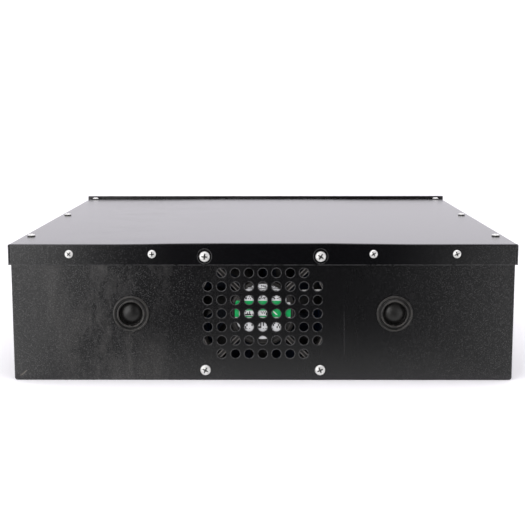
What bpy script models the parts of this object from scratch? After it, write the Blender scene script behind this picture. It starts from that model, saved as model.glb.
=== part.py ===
"""Server rack battery: a folded steel case with sixteen cells, a fan, a breaker and front fittings.

Metres, +Z up. The front is at -Y and the rear, with the fan, at +Y. The origin is the middle of
the case's underside. Left and right are as seen from the front, so right is +X.
"""

import math

import bmesh
import bpy
from mathutils import Euler, Matrix, Vector

GAP = 0.0003  # kept between pieces that touch
SHEET = 0.0012  # steel sheet of the tray, lid and rear panel
EXTRA = 0.002  # how far a cutter runs past what it cuts

# Case
CASE_WIDTH = 0.4563
CASE_REAR = 0.2300  # outer face of the rear panel
TRAY_BEND = 0.0028
TRAY_FLANGE = 0.0160
LID_WIDTH = 0.4607
LID_TOP = 0.1258
LID_REAR = CASE_REAR + GAP + SHEET
LID_FRONT = CASE_REAR - 0.4596
LID_FLANGE = 0.0191
LID_BEND = 0.0020
LID_SLIT = 0.0008
TRAY_REAR = CASE_REAR - SHEET - GAP
TRAY_TOP = LID_TOP - SHEET - GAP

# Front panel
PANEL_WIDTH = 0.4657
PANEL_HEIGHT = 0.1292
PANEL_SHEET = 0.0020
PANEL_BACK = LID_FRONT - GAP
PANEL_FRONT = PANEL_BACK - PANEL_SHEET
PANEL_MIDDLE = PANEL_HEIGHT / 2

# Screws: head radius, head height, shank radius, shank length below the head
SMALL_SCREW = (0.0039, 0.0024, 0.0019, 0.0080)
FAN_SCREW = (0.0050, 0.0030, 0.0023, 0.0110)
SCREW_STEPS = 10
LID_SCREW_X = 0.2215
LID_SCREW_FROM_REAR = (0.058, 0.250, 0.450)
REAR_SCREW_X = (-0.175, -0.100, 0.100, 0.175)
REAR_SCREW_Z = 0.1170
FAN_HEAD_HOLE = 0.0063

# Rear panel
FAN_Z = 0.0620
HOLE_PITCH = 0.0125
HOLE_RADIUS = 0.0042
HOLE_COLUMNS = 9
HOLE_ROWS = 7
HOLE_SIDES = 12
GROMMET_X = 0.1200
GROMMET_HOLE = 0.0140

# Fan
FAN_SIZE = 0.1200
FAN_DEPTH = 0.0250
FAN_SCREW_SQUARE = 0.1050
FAN_BORE = 0.0585
FAN_WALL = 0.0015
FAN_FLANGE = 0.0035
FAN_REAR = TRAY_REAR
FAN_FRONT = FAN_REAR - FAN_DEPTH
HUB_PLATE_RADIUS = 0.0305
HUB_PLATE_REAR = FAN_REAR - 0.0010
HUB_PLATE = 0.0040
STRUT_WIDTH = 0.0048
ROTOR_RADIUS = 0.0295
ROTOR_REAR = HUB_PLATE_REAR - HUB_PLATE - 0.0006
ROTOR_DEPTH = 0.0180
BLADE_RADIUS = 0.0568
BLADE_COUNT = 7
LABEL_RADIUS = 0.0260
LABEL_HALF_WIDTH = 0.0255
LABEL_RISE = 0.0020  # above the fan's axis
LABEL_SHEET = 0.0003
LEAD_RADIUS = 0.0011
LEAD_Z = FAN_Z + 0.0206
LEAD_SIDE_X = -0.2150

# Cells
CELL_WIDTH = 0.0500
CELL_DEPTH = 0.1600
CELL_HEIGHT = 0.1150
CELL_PITCH = 0.0504
CELL_COUNT = 8  # in a row
CELL_POST_RADIUS = 0.0080
CELL_POST_HEIGHT = 0.0020
CELL_POST_Y = 0.0610
ROW_MIDDLES = (-0.0450, 0.1160)  # front row, rear row
CELL_FLOOR = SHEET + GAP
END_PLATE = 0.0030
LINK_TRAY = 0.0016
LINK_PAD = 0.0016

# Management board, upright in front of the cells
BOARD_Y = -0.1600
BOARD_Z = 0.0620
BOARD_SIZE = (0.2800, 0.0016, 0.1000)
HEATSINK_SIZE = (0.2700, 0.0030, 0.0900)
FIN_COUNT = 13
FIN_PITCH = 0.0210
FIN_SIZE = (0.0015, 0.0140, 0.0900)

# Front fittings, x of each
HANDLE_X = 0.2080
HANDLE_BAR = 0.0045
HANDLE_SPAN = 0.0880
HANDLE_REACH = 0.0380
HANDLE_BEND = 0.0120
TERMINAL_X = {"negative": -0.1600, "positive": -0.1120}
TERMINAL_HOLE = 0.0123
BREAKER_X = -0.0550
BREAKER_SIZE = (0.0360, 0.0440, 0.0850)
NOSE_HEIGHT = 0.0450
NOSE_PROUD = 0.0060
LEVER_WIDTH = 0.0260
LEVER_PIVOT_Y = PANEL_FRONT - NOSE_PROUD + 0.0080
LEVER_DRUM = 0.0050
LEVER_LENGTH = 0.0220
LEVER_REST = math.radians(30)  # below level, which is off
BUTTON_X = 0.0100
POWER_Z = 0.0840
POWER_HOLE = 0.0081
RESET_Z = 0.0450
RESET_HOLE = 0.0029
LIGHTS_X = 0.0900
LIGHTS_SIZE = (0.0560, 0.0060)
PORTS_X = 0.0900
PORTS_Z = 0.0450
PORTS_SIZE = (0.0520, 0.0180, 0.0160)
PORT_PITCH = 0.0160
PORT_SIZE = (0.0120, 0.0130, 0.0080)

AXIS_TURN = {"X": Euler((0, math.pi / 2, 0)), "Y": Euler((-math.pi / 2, 0, 0)), "Z": Euler((0, 0, 0))}
FRONTWARD = Euler((math.pi / 2, 0, 0))  # turns +Z to -Y


def clear_scene():
    """Removes everything that the file opens with."""
    for obj in list(bpy.data.objects):
        bpy.data.objects.remove(obj, do_unlink=True)


def collection(name):
    """A new collection in the scene."""
    made = bpy.data.collections.new(name)
    bpy.context.scene.collection.children.link(made)
    return made


clear_scene()
PARTS = collection("server_rack_battery")
HELPERS = collection("helpers")


def material(name, colour, roughness, metallic=0.0):
    """A Principled material with one colour."""
    made = bpy.data.materials.new(name)
    made.use_nodes = True
    shader = made.node_tree.nodes["Principled BSDF"]
    shader.inputs["Base Color"].default_value = (*colour, 1.0)
    shader.inputs["Roughness"].default_value = roughness
    shader.inputs["Metallic"].default_value = metallic
    return made


POWDER_COAT = material("black_powder_coat", (0.012, 0.012, 0.013), 0.42)
ZINC = material("zinc_plated_steel", (0.62, 0.62, 0.58), 0.30, 1.0)
FAN_PLASTIC = material("fan_plastic", (0.014, 0.012, 0.011), 0.45)
LABEL_PAPER = material("label", (0.80, 0.81, 0.80), 0.50)
RUBBER = material("grommet_rubber", (0.010, 0.010, 0.011), 0.60)
LEAD_SLEEVE = material("lead_sleeve", (0.45, 0.45, 0.43), 0.50)
CELL_WRAP = material("cell_wrap", (0.02, 0.10, 0.28), 0.40)
END_METAL = material("end_plate_aluminium", (0.60, 0.61, 0.62), 0.35, 1.0)
LINK_PLASTIC = material("link_tray_plastic", (0.60, 0.20, 0.03), 0.50)
BOARD_GREEN = material("circuit_board", (0.02, 0.16, 0.07), 0.45)
HEATSINK_METAL = material("heatsink_aluminium", (0.55, 0.56, 0.57), 0.38, 1.0)
HANDLE_METAL = material("handle_aluminium", (0.020, 0.020, 0.022), 0.30, 0.6)
BREAKER_PLASTIC = material("breaker_plastic", (0.62, 0.63, 0.62), 0.40)
LEVER_PLASTIC = material("lever_plastic", (0.02, 0.02, 0.02), 0.35)
BEZEL_METAL = material("button_steel", (0.65, 0.65, 0.66), 0.25, 1.0)
RESET_PLASTIC = material("reset_plastic", (0.03, 0.03, 0.03), 0.40)
PORT_PLASTIC = material("port_plastic", (0.03, 0.03, 0.03), 0.35)
LIGHTS_PLASTIC = material("light_window", (0.70, 0.74, 0.72), 0.25)
RED_PLASTIC = material("positive_insulator", (0.45, 0.02, 0.02), 0.40)
BLACK_PLASTIC = material("negative_insulator", (0.015, 0.015, 0.015), 0.40)
BRASS = material("terminal_brass", (0.78, 0.60, 0.28), 0.28, 1.0)


def add(name, mesh, place=(0, 0, 0), turn=None):
    """A new object in the battery's collection."""
    obj = bpy.data.objects.new(name, mesh)
    PARTS.objects.link(obj)
    obj.location = place
    if turn:
        obj.rotation_euler = turn
    return obj


def from_bmesh(name, bm, place=(0, 0, 0), turn=None):
    """A new object from a bmesh, which is freed."""
    mesh = bpy.data.meshes.new(name)
    bm.to_mesh(mesh)
    bm.free()
    return add(name, mesh, place, turn)


def sized_cube(bm, size, middle=(0, 0, 0)):
    """Adds a cube with these sides to a bmesh."""
    matrix = Matrix.Translation(middle) @ Matrix.Diagonal((*size, 1.0))
    return bmesh.ops.create_cube(bm, size=1.0, matrix=matrix)["verts"]


def round_edges(bm, chosen, radius, segments):
    """Rounds the edges whose two ends the function picks out."""
    edges = [e for e in bm.edges if chosen(e.verts[0].co, e.verts[1].co)]
    bmesh.ops.bevel(bm, geom=edges, offset=radius, segments=segments, profile=0.5, affect="EDGES")


def along(axis):
    """Picks edges that run along an axis: 0 for X, 1 for Y, 2 for Z."""
    return lambda a, b: all(abs(a[i] - b[i]) < 1e-6 for i in range(3) if i != axis)


def box(name, middle, size, rounded=None, radius=0.0, segments=2):
    """A box, with the picked edges rounded."""
    bm = bmesh.new()
    sized_cube(bm, size)
    if rounded:
        round_edges(bm, rounded, radius, segments)
    return from_bmesh(name, bm, middle)


def boxes(name, middles, size):
    """Several equal boxes in one helper object."""
    bm = bmesh.new()
    for middle in middles:
        sized_cube(bm, size, middle)
    return from_bmesh(name, bm)


def cylinders(name, middles, radius, length, axis="Z", sides=12):
    """One or more equal cylinders in one object."""
    bm = bmesh.new()
    turn = AXIS_TURN[axis].to_matrix().to_4x4()
    for middle in middles:
        bmesh.ops.create_cone(
            bm, cap_ends=True, segments=sides, radius1=radius, radius2=radius, depth=length,
            matrix=Matrix.Translation(middle) @ turn,
        )
    return from_bmesh(name, bm)


def turned(name, profile, place, turn, steps):
    """A turned shape from (radius, height) points that run from the top of the axis to its foot."""
    bm = bmesh.new()
    points = [bm.verts.new((radius, 0, height)) for radius, height in profile]
    for first, second in zip(points, points[1:]):
        bm.edges.new((first, second))
    obj = from_bmesh(name, bm, place, turn)
    screw = obj.modifiers.new("turn", "SCREW")
    screw.steps = steps
    screw.render_steps = steps
    screw.use_merge_vertices = True
    screw.merge_threshold = 0.00001
    return obj


def helper(obj):
    """Makes an object a cutter or a joined shape, which isn't a part of its own."""
    PARTS.objects.unlink(obj)
    HELPERS.objects.link(obj)
    obj.hide_render = True
    obj.display_type = "WIRE"


def combine(obj, other, operation):
    """Adds a Boolean of another object, which becomes a helper."""
    helper(other)
    boolean = obj.modifiers.new(operation.lower(), "BOOLEAN")
    boolean.operation = operation
    boolean.object = other
    boolean.solver = "EXACT"


def cut(obj, *cutters):
    """Takes each cutter out of an object."""
    for cutter in cutters:
        combine(obj, cutter, "DIFFERENCE")


def join(obj, *others):
    """Joins each overlapping shape to an object."""
    for other in others:
        combine(obj, other, "UNION")


def freeze(obj):
    """Turns an object's modifiers and its place into its mesh, so that copies can share it."""
    bpy.context.view_layer.update()
    graph = bpy.context.evaluated_depsgraph_get()
    mesh = bpy.data.meshes.new_from_object(obj.evaluated_get(graph))
    mesh.transform(obj.matrix_world)
    obj.modifiers.clear()
    obj.data = mesh
    obj.matrix_world = Matrix.Identity(4)
    return mesh


def solid(obj, finish, smooth=False):
    """Gives a finished part its material and shading."""
    obj.data.materials.clear()
    obj.data.materials.append(finish)
    if smooth:
        obj.data.shade_smooth()
        obj.data.set_sharp_from_angle(angle=math.radians(35))
    return obj


def base_tray():
    """Floor, side walls and the inward flanges that the lid's screws go into, folded from one sheet."""
    length = TRAY_REAR - LID_FRONT
    bm = bmesh.new()
    sized_cube(bm, (CASE_WIDTH, length, TRAY_TOP))
    ends = [f for f in bm.faces if abs(f.normal.y) > 0.5]
    bmesh.ops.delete(bm, geom=ends, context="FACES")
    round_edges(bm, along(1), TRAY_BEND, 3)
    tray = from_bmesh("base_tray", bm, (0, (TRAY_REAR + LID_FRONT) / 2, TRAY_TOP / 2))
    wall = tray.modifiers.new("wall", "SOLIDIFY")
    wall.thickness = SHEET
    wall.offset = -1
    mouth_width = CASE_WIDTH - 2 * (SHEET + TRAY_FLANGE)
    mouth = box("tray_mouth", (0, tray.location.y, TRAY_TOP), (mouth_width, length + EXTRA, 4 * SHEET))
    holes = cylinders("tray_screw_holes", lid_screw_places(TRAY_TOP), SMALL_SCREW[2] + GAP, 4 * SHEET)
    cut(tray, mouth, holes)
    return solid(tray, POWDER_COAT)


def lid_screw_places(height):
    """Where the six screws go through the lid's top."""
    return [
        (side * LID_SCREW_X, CASE_REAR - back, height) for side in (-1, 1) for back in LID_SCREW_FROM_REAR
    ]


def rear_screw_places(y):
    """Where the four small screws go through the lid's rear flange."""
    return [(x, y, REAR_SCREW_Z) for x in REAR_SCREW_X]


def fan_screw_places(y):
    """Corners of the fan's screw square."""
    half = FAN_SCREW_SQUARE / 2
    return [(x * half, y, FAN_Z + z * half) for z in (1, -1) for x in (-1, 1)]


def grille_places(y):
    """Centres of the grille's holes: a full grid without its four corners."""
    columns = range(-(HOLE_COLUMNS // 2), HOLE_COLUMNS // 2 + 1)
    rows = range(-(HOLE_ROWS // 2), HOLE_ROWS // 2 + 1)
    return [
        (column * HOLE_PITCH, y, FAN_Z + row * HOLE_PITCH)
        for column in columns
        for row in rows
        if not (abs(column) == HOLE_COLUMNS // 2 and abs(row) == HOLE_ROWS // 2)
    ]


def rear_panel():
    """Rear wall with the grille, the grommet holes and the screw holes."""
    middle_y = CASE_REAR - SHEET / 2
    panel = box(
        "rear_panel", (0, middle_y, TRAY_TOP / 2), (CASE_WIDTH, SHEET, TRAY_TOP),
        lambda a, b: along(1)(a, b) and a.z < 0, TRAY_BEND, 3,
    )
    through = 4 * SHEET
    grommets = [(side * GROMMET_X, middle_y, FAN_Z) for side in (-1, 1)]
    cut(
        panel,
        cylinders("grille_holes", grille_places(middle_y), HOLE_RADIUS, through, "Y", HOLE_SIDES),
        cylinders("grommet_holes", grommets, GROMMET_HOLE, through, "Y", 20),
        cylinders("fan_screw_holes", fan_screw_places(middle_y), FAN_SCREW[2] + GAP, through, "Y"),
        cylinders("rear_screw_holes", rear_screw_places(middle_y), SMALL_SCREW[2] + GAP, through, "Y"),
    )
    return solid(panel, POWDER_COAT)


def top_cover():
    """Lid with a rear flange and two side flanges, slit where they meet."""
    length = LID_REAR - LID_FRONT
    middle = (0, (LID_REAR + LID_FRONT) / 2, LID_TOP - LID_FLANGE / 2)
    bm = bmesh.new()
    sized_cube(bm, (LID_WIDTH, length, LID_FLANGE))
    open_sides = [f for f in bm.faces if f.normal.z < -0.5 or f.normal.y < -0.5]
    bmesh.ops.delete(bm, geom=open_sides, context="FACES")
    top = LID_FLANGE / 2 - 1e-6
    front = -length / 2 + 1e-6

    def on_fold(a, b):
        return a.z > top and b.z > top and (a.y > front or b.y > front)

    round_edges(bm, on_fold, LID_BEND, 3)
    lid = from_bmesh("top_cover", bm, middle)
    wall = lid.modifiers.new("wall", "SOLIDIFY")
    wall.thickness = SHEET
    wall.offset = -1
    wall.use_even_offset = True
    slit_x = LID_WIDTH / 2 - SHEET - LID_SLIT / 2
    slit_height = LID_FLANGE - LID_BEND
    slit_z = LID_TOP - LID_BEND - slit_height / 2 - EXTRA / 2
    slits = boxes(
        "lid_slits", [(side * slit_x, LID_REAR, slit_z) for side in (-1, 1)],
        (LID_SLIT, 4 * SHEET, slit_height + EXTRA),
    )
    cut(
        lid,
        slits,
        cylinders("lid_screw_holes", lid_screw_places(LID_TOP), SMALL_SCREW[2] + GAP, 4 * SHEET),
        cylinders("lid_rear_holes", rear_screw_places(LID_REAR), SMALL_SCREW[2] + GAP, 4 * SHEET, "Y"),
        cylinders("lid_fan_holes", fan_screw_places(LID_REAR)[:2], FAN_HEAD_HOLE, 4 * SHEET, "Y", 20),
    )
    return solid(lid, POWDER_COAT)


def screw_mesh(name, sizes):
    """A pan-head screw with a cross recess, its head's underside at the origin and its axis on Z."""
    head, height, shank, length = sizes
    dome = [(head * math.sin(a), height * (0.42 + 0.58 * math.cos(a))) for a in (0.0, 0.8)]
    profile = dome + [(head, 0.35 * height), (head, 0), (shank, 0), (shank, -length), (0, -length)]
    screw = turned(name, profile, (0, 0, 0), None, SCREW_STEPS)
    slot = (1.15 * head, 0.30 * head, 0.60 * height)
    depth = height * 0.75
    cut(
        screw,
        box(name + "_slot_x", (0, 0, depth), slot),
        box(name + "_slot_y", (0, 0, depth), (slot[1], slot[0], slot[2])),
    )
    freeze(screw)
    solid(screw, ZINC, True)
    mesh = screw.data
    bpy.data.objects.remove(screw, do_unlink=True)
    return mesh


def screws():
    """The lid's ten screws and the fan's four."""
    small = screw_mesh("small_screw", SMALL_SCREW)
    large = screw_mesh("large_screw", FAN_SCREW)
    sides = ("left", "right")
    lid_places = lid_screw_places(LID_TOP + GAP)
    for number, place in enumerate(lid_places):
        side = sides[number // len(LID_SCREW_FROM_REAR)]
        row = number % len(LID_SCREW_FROM_REAR) + 1
        add(f"cover_screw_{side}_{row}", small, place)
    rearward = AXIS_TURN["Y"]
    for number, place in enumerate(rear_screw_places(LID_REAR + GAP), 1):
        add(f"cover_screw_rear_{number}", small, place, rearward)
    for number, place in enumerate(fan_screw_places(CASE_REAR + GAP), 1):
        add(f"fan_screw_{number}", large, place, rearward)


def grommet(name, x):
    """A blind rubber grommet: outer flange, panel groove, inner flange and a thin membrane."""
    groove = GROMMET_HOLE - GAP
    lip = -SHEET - GAP
    profile = [
        (0, 0.0008), (0.0094, 0.0004), (0.0102, 0.0030), (0.0119, 0.0032), (0.0130, 0.0016),
        (0.0155, 0.0018), (0.0165, 0.0008), (0.0164, GAP), (groove, GAP), (groove, lip),
        (0.0155, lip), (0.0148, -0.0034), (0.0118, -0.0036), (0.0105, -0.0012), (0, -0.0010),
    ]
    obj = turned(name, profile, (x, CASE_REAR, FAN_Z), AXIS_TURN["Y"], 20)
    return solid(obj, RUBBER, True)


def fan_frame():
    """Square fan housing with two flanges round a duct, and a hub plate on four struts."""
    middle_y = (FAN_REAR + FAN_FRONT) / 2
    frame = box("fan_frame", (0, middle_y, FAN_Z), (FAN_SIZE, FAN_DEPTH, FAN_SIZE), along(1), 0.005, 2)
    waist_depth = FAN_DEPTH - 2 * FAN_FLANGE
    waist = box("fan_waist", (0, middle_y, FAN_Z), (FAN_SIZE + EXTRA, waist_depth, FAN_SIZE + EXTRA))
    duct = cylinders("fan_duct", [(0, middle_y, FAN_Z)], FAN_BORE + FAN_WALL, FAN_DEPTH, "Y", 32)
    cut(waist, duct)
    freeze(waist)
    bore = cylinders("fan_bore", [(0, middle_y, FAN_Z)], FAN_BORE, FAN_DEPTH + EXTRA, "Y", 32)
    holes = cylinders(
        "fan_corner_holes", fan_screw_places(middle_y), FAN_SCREW[2] + GAP, FAN_DEPTH + EXTRA, "Y"
    )
    lead_slot = box(
        "lead_slot", (-FAN_SIZE / 2, FAN_REAR - FAN_FLANGE / 2 - GAP, LEAD_Z), (0.03, FAN_FLANGE, 0.0036)
    )
    cut(frame, waist, bore, holes, lead_slot)
    plate_y = HUB_PLATE_REAR - HUB_PLATE / 2
    plate = cylinders("hub_plate", [(0, plate_y, FAN_Z)], HUB_PLATE_RADIUS, HUB_PLATE, "Y", 32)
    join(frame, struts(plate_y, 1), struts(plate_y, -1), plate)
    return solid(frame, FAN_PLASTIC, True)


def struts(y, side):
    """The two struts on one diagonal of the fan, as one bar across its hub."""
    reach = FAN_BORE + 4 * FAN_WALL
    bar = box("strut_bar", (0, y, FAN_Z), (2 * reach, HUB_PLATE - 2 * GAP, STRUT_WIDTH))
    bar.rotation_euler = (0, side * math.pi / 4, 0)
    return bar


def blade(bm, start):
    """Adds one blade's surface to a bmesh, swept round and tilted along the fan's axis."""
    across, along_chord = 4, 5
    grid = []
    for i in range(across):
        share = i / (across - 1)
        radius = ROTOR_RADIUS - 0.0015 + share * (BLADE_RADIUS - ROTOR_RADIUS + 0.0015)
        tilt = math.radians(52 - 20 * share)
        chord = 0.020 + 0.012 * share
        line = []
        for j in range(along_chord):
            place = j / (along_chord - 1) - 0.5
            camber = 0.0022 * (1 - 4 * place * place)
            angle = start + 0.35 * share + (place * chord * math.cos(tilt) - camber) / radius
            depth = place * chord * math.sin(tilt) * 0.9 + camber * 0.5
            line.append(bm.verts.new((radius * math.cos(angle), radius * math.sin(angle), depth)))
        grid.append(line)
    for i in range(across - 1):
        for j in range(along_chord - 1):
            bm.faces.new((grid[i][j], grid[i + 1][j], grid[i + 1][j + 1], grid[i][j + 1]))


def fan_impeller():
    """Seven-bladed impeller, its origin on the fan's axis."""
    middle = (0, ROTOR_REAR - ROTOR_DEPTH / 2, FAN_Z)
    bm = bmesh.new()
    bmesh.ops.create_cone(
        bm, cap_ends=True, segments=28, radius1=ROTOR_RADIUS, radius2=ROTOR_RADIUS, depth=ROTOR_DEPTH
    )
    hub = from_bmesh("fan_impeller", bm, middle, AXIS_TURN["Y"])
    blades_bm = bmesh.new()
    for number in range(BLADE_COUNT):
        blade(blades_bm, number * 2 * math.pi / BLADE_COUNT)
    blades = from_bmesh("fan_blades", blades_bm, middle, AXIS_TURN["Y"])
    thick = blades.modifiers.new("thickness", "SOLIDIFY")
    thick.thickness = 0.0014
    thick.offset = 0
    join(hub, blades)
    return solid(hub, FAN_PLASTIC, True)


def fan_label():
    """Round label on the hub plate with flat left and right sides."""
    place = (0, HUB_PLATE_REAR + GAP + LABEL_SHEET / 2, FAN_Z + LABEL_RISE)
    label = cylinders("fan_label", [(0, 0, 0)], LABEL_RADIUS, LABEL_SHEET, "Y", 40)
    label.location = place
    trim = LABEL_RADIUS
    middles = [(side * (LABEL_HALF_WIDTH + trim / 2), place[1], place[2]) for side in (-1, 1)]
    cut(label, boxes("label_sides", middles, (trim, trim, 3 * trim)))
    return solid(label, LABEL_PAPER)


def smooth_route(points, count):
    """Points at even steps along a smooth curve through the given ones."""
    ends = [points[0] * 2 - points[1]] + points + [points[-1] * 2 - points[-2]]
    fine = []
    for i in range(1, len(ends) - 2):
        before, start, end, after = ends[i - 1:i + 3]
        for step in range(20):
            t = step / 20
            fine.append(0.5 * (
                2 * start + (end - before) * t + (2 * before - 5 * start + 4 * end - after) * t * t
                + (3 * start - before - 3 * end + after) * t * t * t
            ))
    fine.append(points[-1])
    lengths = [0.0]
    for first, second in zip(fine, fine[1:]):
        lengths.append(lengths[-1] + (second - first).length)
    route = []
    for number in range(count):
        wanted = lengths[-1] * number / (count - 1)
        index = min(sum(1 for length in lengths if length <= wanted), len(fine) - 1)
        span = lengths[index] - lengths[index - 1]
        share = (wanted - lengths[index - 1]) / span
        route.append(fine[index - 1].lerp(fine[index], share))
    return route


def tube(name, route, radius, resolution, finish):
    """A round bar or lead along a route."""
    curve = bpy.data.curves.new(name, "CURVE")
    curve.dimensions = "3D"
    curve.bevel_depth = radius
    curve.bevel_resolution = resolution
    curve.use_fill_caps = True
    spline = curve.splines.new("POLY")
    spline.points.add(len(route) - 1)
    for point, place in zip(spline.points, route):
        point.co = (*place, 1.0)
    curve.materials.append(finish)
    return add(name, curve)


def fan_lead():
    """The fan's sleeved lead, from its hub through the slot in the frame to the management board."""
    level = LEAD_Z
    y = FAN_REAR - FAN_FLANGE / 2 - GAP
    points = [
        (-0.0275, y, level - 0.0010), (-0.0450, y, level), (-0.0640, y, level), (-0.0900, y - 0.002, level),
        (-0.1500, 0.2180, level), (-0.1950, 0.2120, level), (LEAD_SIDE_X, 0.1850, level),
        (LEAD_SIDE_X, 0.1000, level), (LEAD_SIDE_X, 0.0000, level), (LEAD_SIDE_X, -0.0900, level),
        (-0.2050, -0.1400, level), (-0.1750, -0.1640, level), (-0.1430, -0.1680, level),
    ]
    return tube("fan_lead", smooth_route([Vector(p) for p in points], 44), LEAD_RADIUS, 2, LEAD_SLEEVE)


def cells():
    """Sixteen prismatic cells in two rows, every second one turned round."""
    size = (CELL_WIDTH, CELL_DEPTH, CELL_HEIGHT)
    body = box("cell_body", (0, 0, CELL_HEIGHT / 2), size, along(2), 0.002, 1)
    posts = [(0, side * CELL_POST_Y, CELL_HEIGHT) for side in (-1, 1)]
    join(body, cylinders("cell_posts", posts, CELL_POST_RADIUS, 2 * CELL_POST_HEIGHT, "Z", 10))
    mesh = freeze(body)
    solid(body, CELL_WRAP)
    bpy.data.objects.remove(body, do_unlink=True)
    for row, row_y in enumerate(ROW_MIDDLES):
        for column in range(CELL_COUNT):
            x = (column - (CELL_COUNT - 1) / 2) * CELL_PITCH
            turn = Euler((0, 0, math.pi * (column % 2)))
            add(f"cell_{row * CELL_COUNT + column + 1:02d}", mesh, (x, row_y, CELL_FLOOR), turn)


def end_plates():
    """Plates that press on the two ends of the cell rows."""
    depth = ROW_MIDDLES[1] - ROW_MIDDLES[0] + CELL_DEPTH
    middle_y = sum(ROW_MIDDLES) / 2
    stack = (CELL_COUNT - 1) * CELL_PITCH / 2 + CELL_WIDTH / 2
    x = stack + GAP + END_PLATE / 2
    for side, name in ((-1, "end_plate_left"), (1, "end_plate_right")):
        plate = box(
            name, (side * x, middle_y, CELL_FLOOR + CELL_HEIGHT / 2), (END_PLATE, depth, CELL_HEIGHT - 0.01)
        )
        solid(plate, END_METAL)


def link_trays():
    """One tray for each row of cells, with the raised links that join them in series."""
    base = CELL_FLOOR + CELL_HEIGHT + CELL_POST_HEIGHT + GAP
    width = CELL_COUNT * CELL_PITCH
    for row_y, name in zip(ROW_MIDDLES, ("link_tray_front", "link_tray_rear")):
        tray = box(name, (0, row_y, base + LINK_TRAY / 2), (width, 0.150, LINK_TRAY))
        windows = boxes(
            name + "_windows", [(x, row_y, base) for x in (-0.132, 0.0, 0.132)], (0.118, 0.090, 0.02)
        )
        pad_z = base + LINK_TRAY + LINK_PAD / 2 - GAP
        outer = [((i - 1.5) * 2 * CELL_PITCH, row_y - CELL_POST_Y, pad_z) for i in range(4)]
        inner = [((i - 1) * 2 * CELL_PITCH, row_y + CELL_POST_Y, pad_z) for i in range(3)]
        cut(tray, windows)
        join(tray, boxes(name + "_links", outer + inner, (0.074, 0.018, LINK_PAD + GAP)))
        solid(tray, LINK_PLASTIC)


def management_board():
    """Circuit board across the front of the cells, with its parts facing the front panel."""
    board = box("bms_board", (0, BOARD_Y, BOARD_Z), BOARD_SIZE)
    chips = [((i - 2.5) * 0.044, BOARD_Y - 0.0040, BOARD_Z + 0.0180) for i in range(6)]
    sockets = [((i - 1.5) * 0.060, BOARD_Y - 0.0055, BOARD_Z - 0.0360) for i in range(4)]
    join(board, boxes("board_chips", chips, (0.020, 0.0070, 0.014)))
    join(board, boxes("board_sockets", sockets, (0.024, 0.0100, 0.010)))
    return solid(board, BOARD_GREEN)


def heatsink():
    """Finned plate behind the board."""
    face = BOARD_Y + BOARD_SIZE[1] / 2 + GAP
    plate = box("bms_heatsink", (0, face + HEATSINK_SIZE[1] / 2, BOARD_Z), HEATSINK_SIZE)
    fin_y = face + 0.0020 + FIN_SIZE[1] / 2
    fins = [((i - (FIN_COUNT - 1) / 2) * FIN_PITCH, fin_y, BOARD_Z) for i in range(FIN_COUNT)]
    join(plate, boxes("heatsink_fins", fins, FIN_SIZE))
    return solid(plate, HEATSINK_METAL)


def front_panel():
    """Front plate with the openings for what is mounted in it."""
    middle_y = (PANEL_FRONT + PANEL_BACK) / 2
    size = (PANEL_WIDTH, PANEL_SHEET, PANEL_HEIGHT)
    panel = box("front_panel", (0, middle_y, PANEL_MIDDLE), size, along(1), 0.001, 2)
    deep = 4 * PANEL_SHEET
    fit = 2 * GAP
    nose = (BREAKER_SIZE[0] + fit, deep, NOSE_HEIGHT + fit)
    ports = (PORTS_SIZE[0] + fit, deep, PORTS_SIZE[2] + fit)
    lights = (LIGHTS_SIZE[0] + fit, deep, LIGHTS_SIZE[1] + fit)
    terminals = [(x, middle_y, PANEL_MIDDLE) for x in TERMINAL_X.values()]
    cut(
        panel,
        box("breaker_opening", (BREAKER_X, middle_y, PANEL_MIDDLE), nose),
        box("ports_opening", (PORTS_X, middle_y, PORTS_Z), ports),
        box("lights_opening", (LIGHTS_X, middle_y, POWER_Z), lights),
        cylinders("power_opening", [(BUTTON_X, middle_y, POWER_Z)], POWER_HOLE, deep, "Y", 24),
        cylinders("reset_opening", [(BUTTON_X, middle_y, RESET_Z)], RESET_HOLE, deep, "Y"),
        cylinders("terminal_openings", terminals, TERMINAL_HOLE, deep, "Y", 24),
    )
    return solid(panel, POWDER_COAT)


def handle(name, x):
    """A round bar handle, upright on the front panel."""
    foot_y = PANEL_FRONT - GAP
    far_y = foot_y - HANDLE_REACH
    half = HANDLE_SPAN / 2
    route = [Vector((x, foot_y, PANEL_MIDDLE - half))]
    for corner in range(2):
        side = 2 * corner - 1
        for step in range(7):
            angle = math.pi / 2 * (step / 6 + corner)
            y = far_y + HANDLE_BEND - HANDLE_BEND * math.sin(angle)
            z = PANEL_MIDDLE + side * (half - HANDLE_BEND) - HANDLE_BEND * math.cos(angle)
            route.append(Vector((x, y, z)))
    route.append(Vector((x, foot_y, PANEL_MIDDLE + half)))
    return tube(name, route, HANDLE_BAR, 3, HANDLE_METAL)


def breaker():
    """Two-pole breaker: the body behind the panel, its nose through it, and the lever's slot."""
    width, depth, height = BREAKER_SIZE
    body_front = PANEL_BACK + 3 * GAP
    body = box("breaker_body", (BREAKER_X, body_front + depth / 2, PANEL_MIDDLE), (width, depth, height))
    nose_front = PANEL_FRONT - NOSE_PROUD
    nose_depth = body_front + 0.004 - nose_front
    nose_place = (BREAKER_X, nose_front + nose_depth / 2, PANEL_MIDDLE)
    nose = box("breaker_nose", nose_place, (width, nose_depth, NOSE_HEIGHT))
    join(body, nose)
    slot = (LEVER_WIDTH + 4 * GAP, 0.032, 0.020)
    cut(body, box("lever_slot", (BREAKER_X, nose_front, PANEL_MIDDLE), slot, along(0), 0.004, 3))
    return solid(body, BREAKER_PLASTIC)


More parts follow.
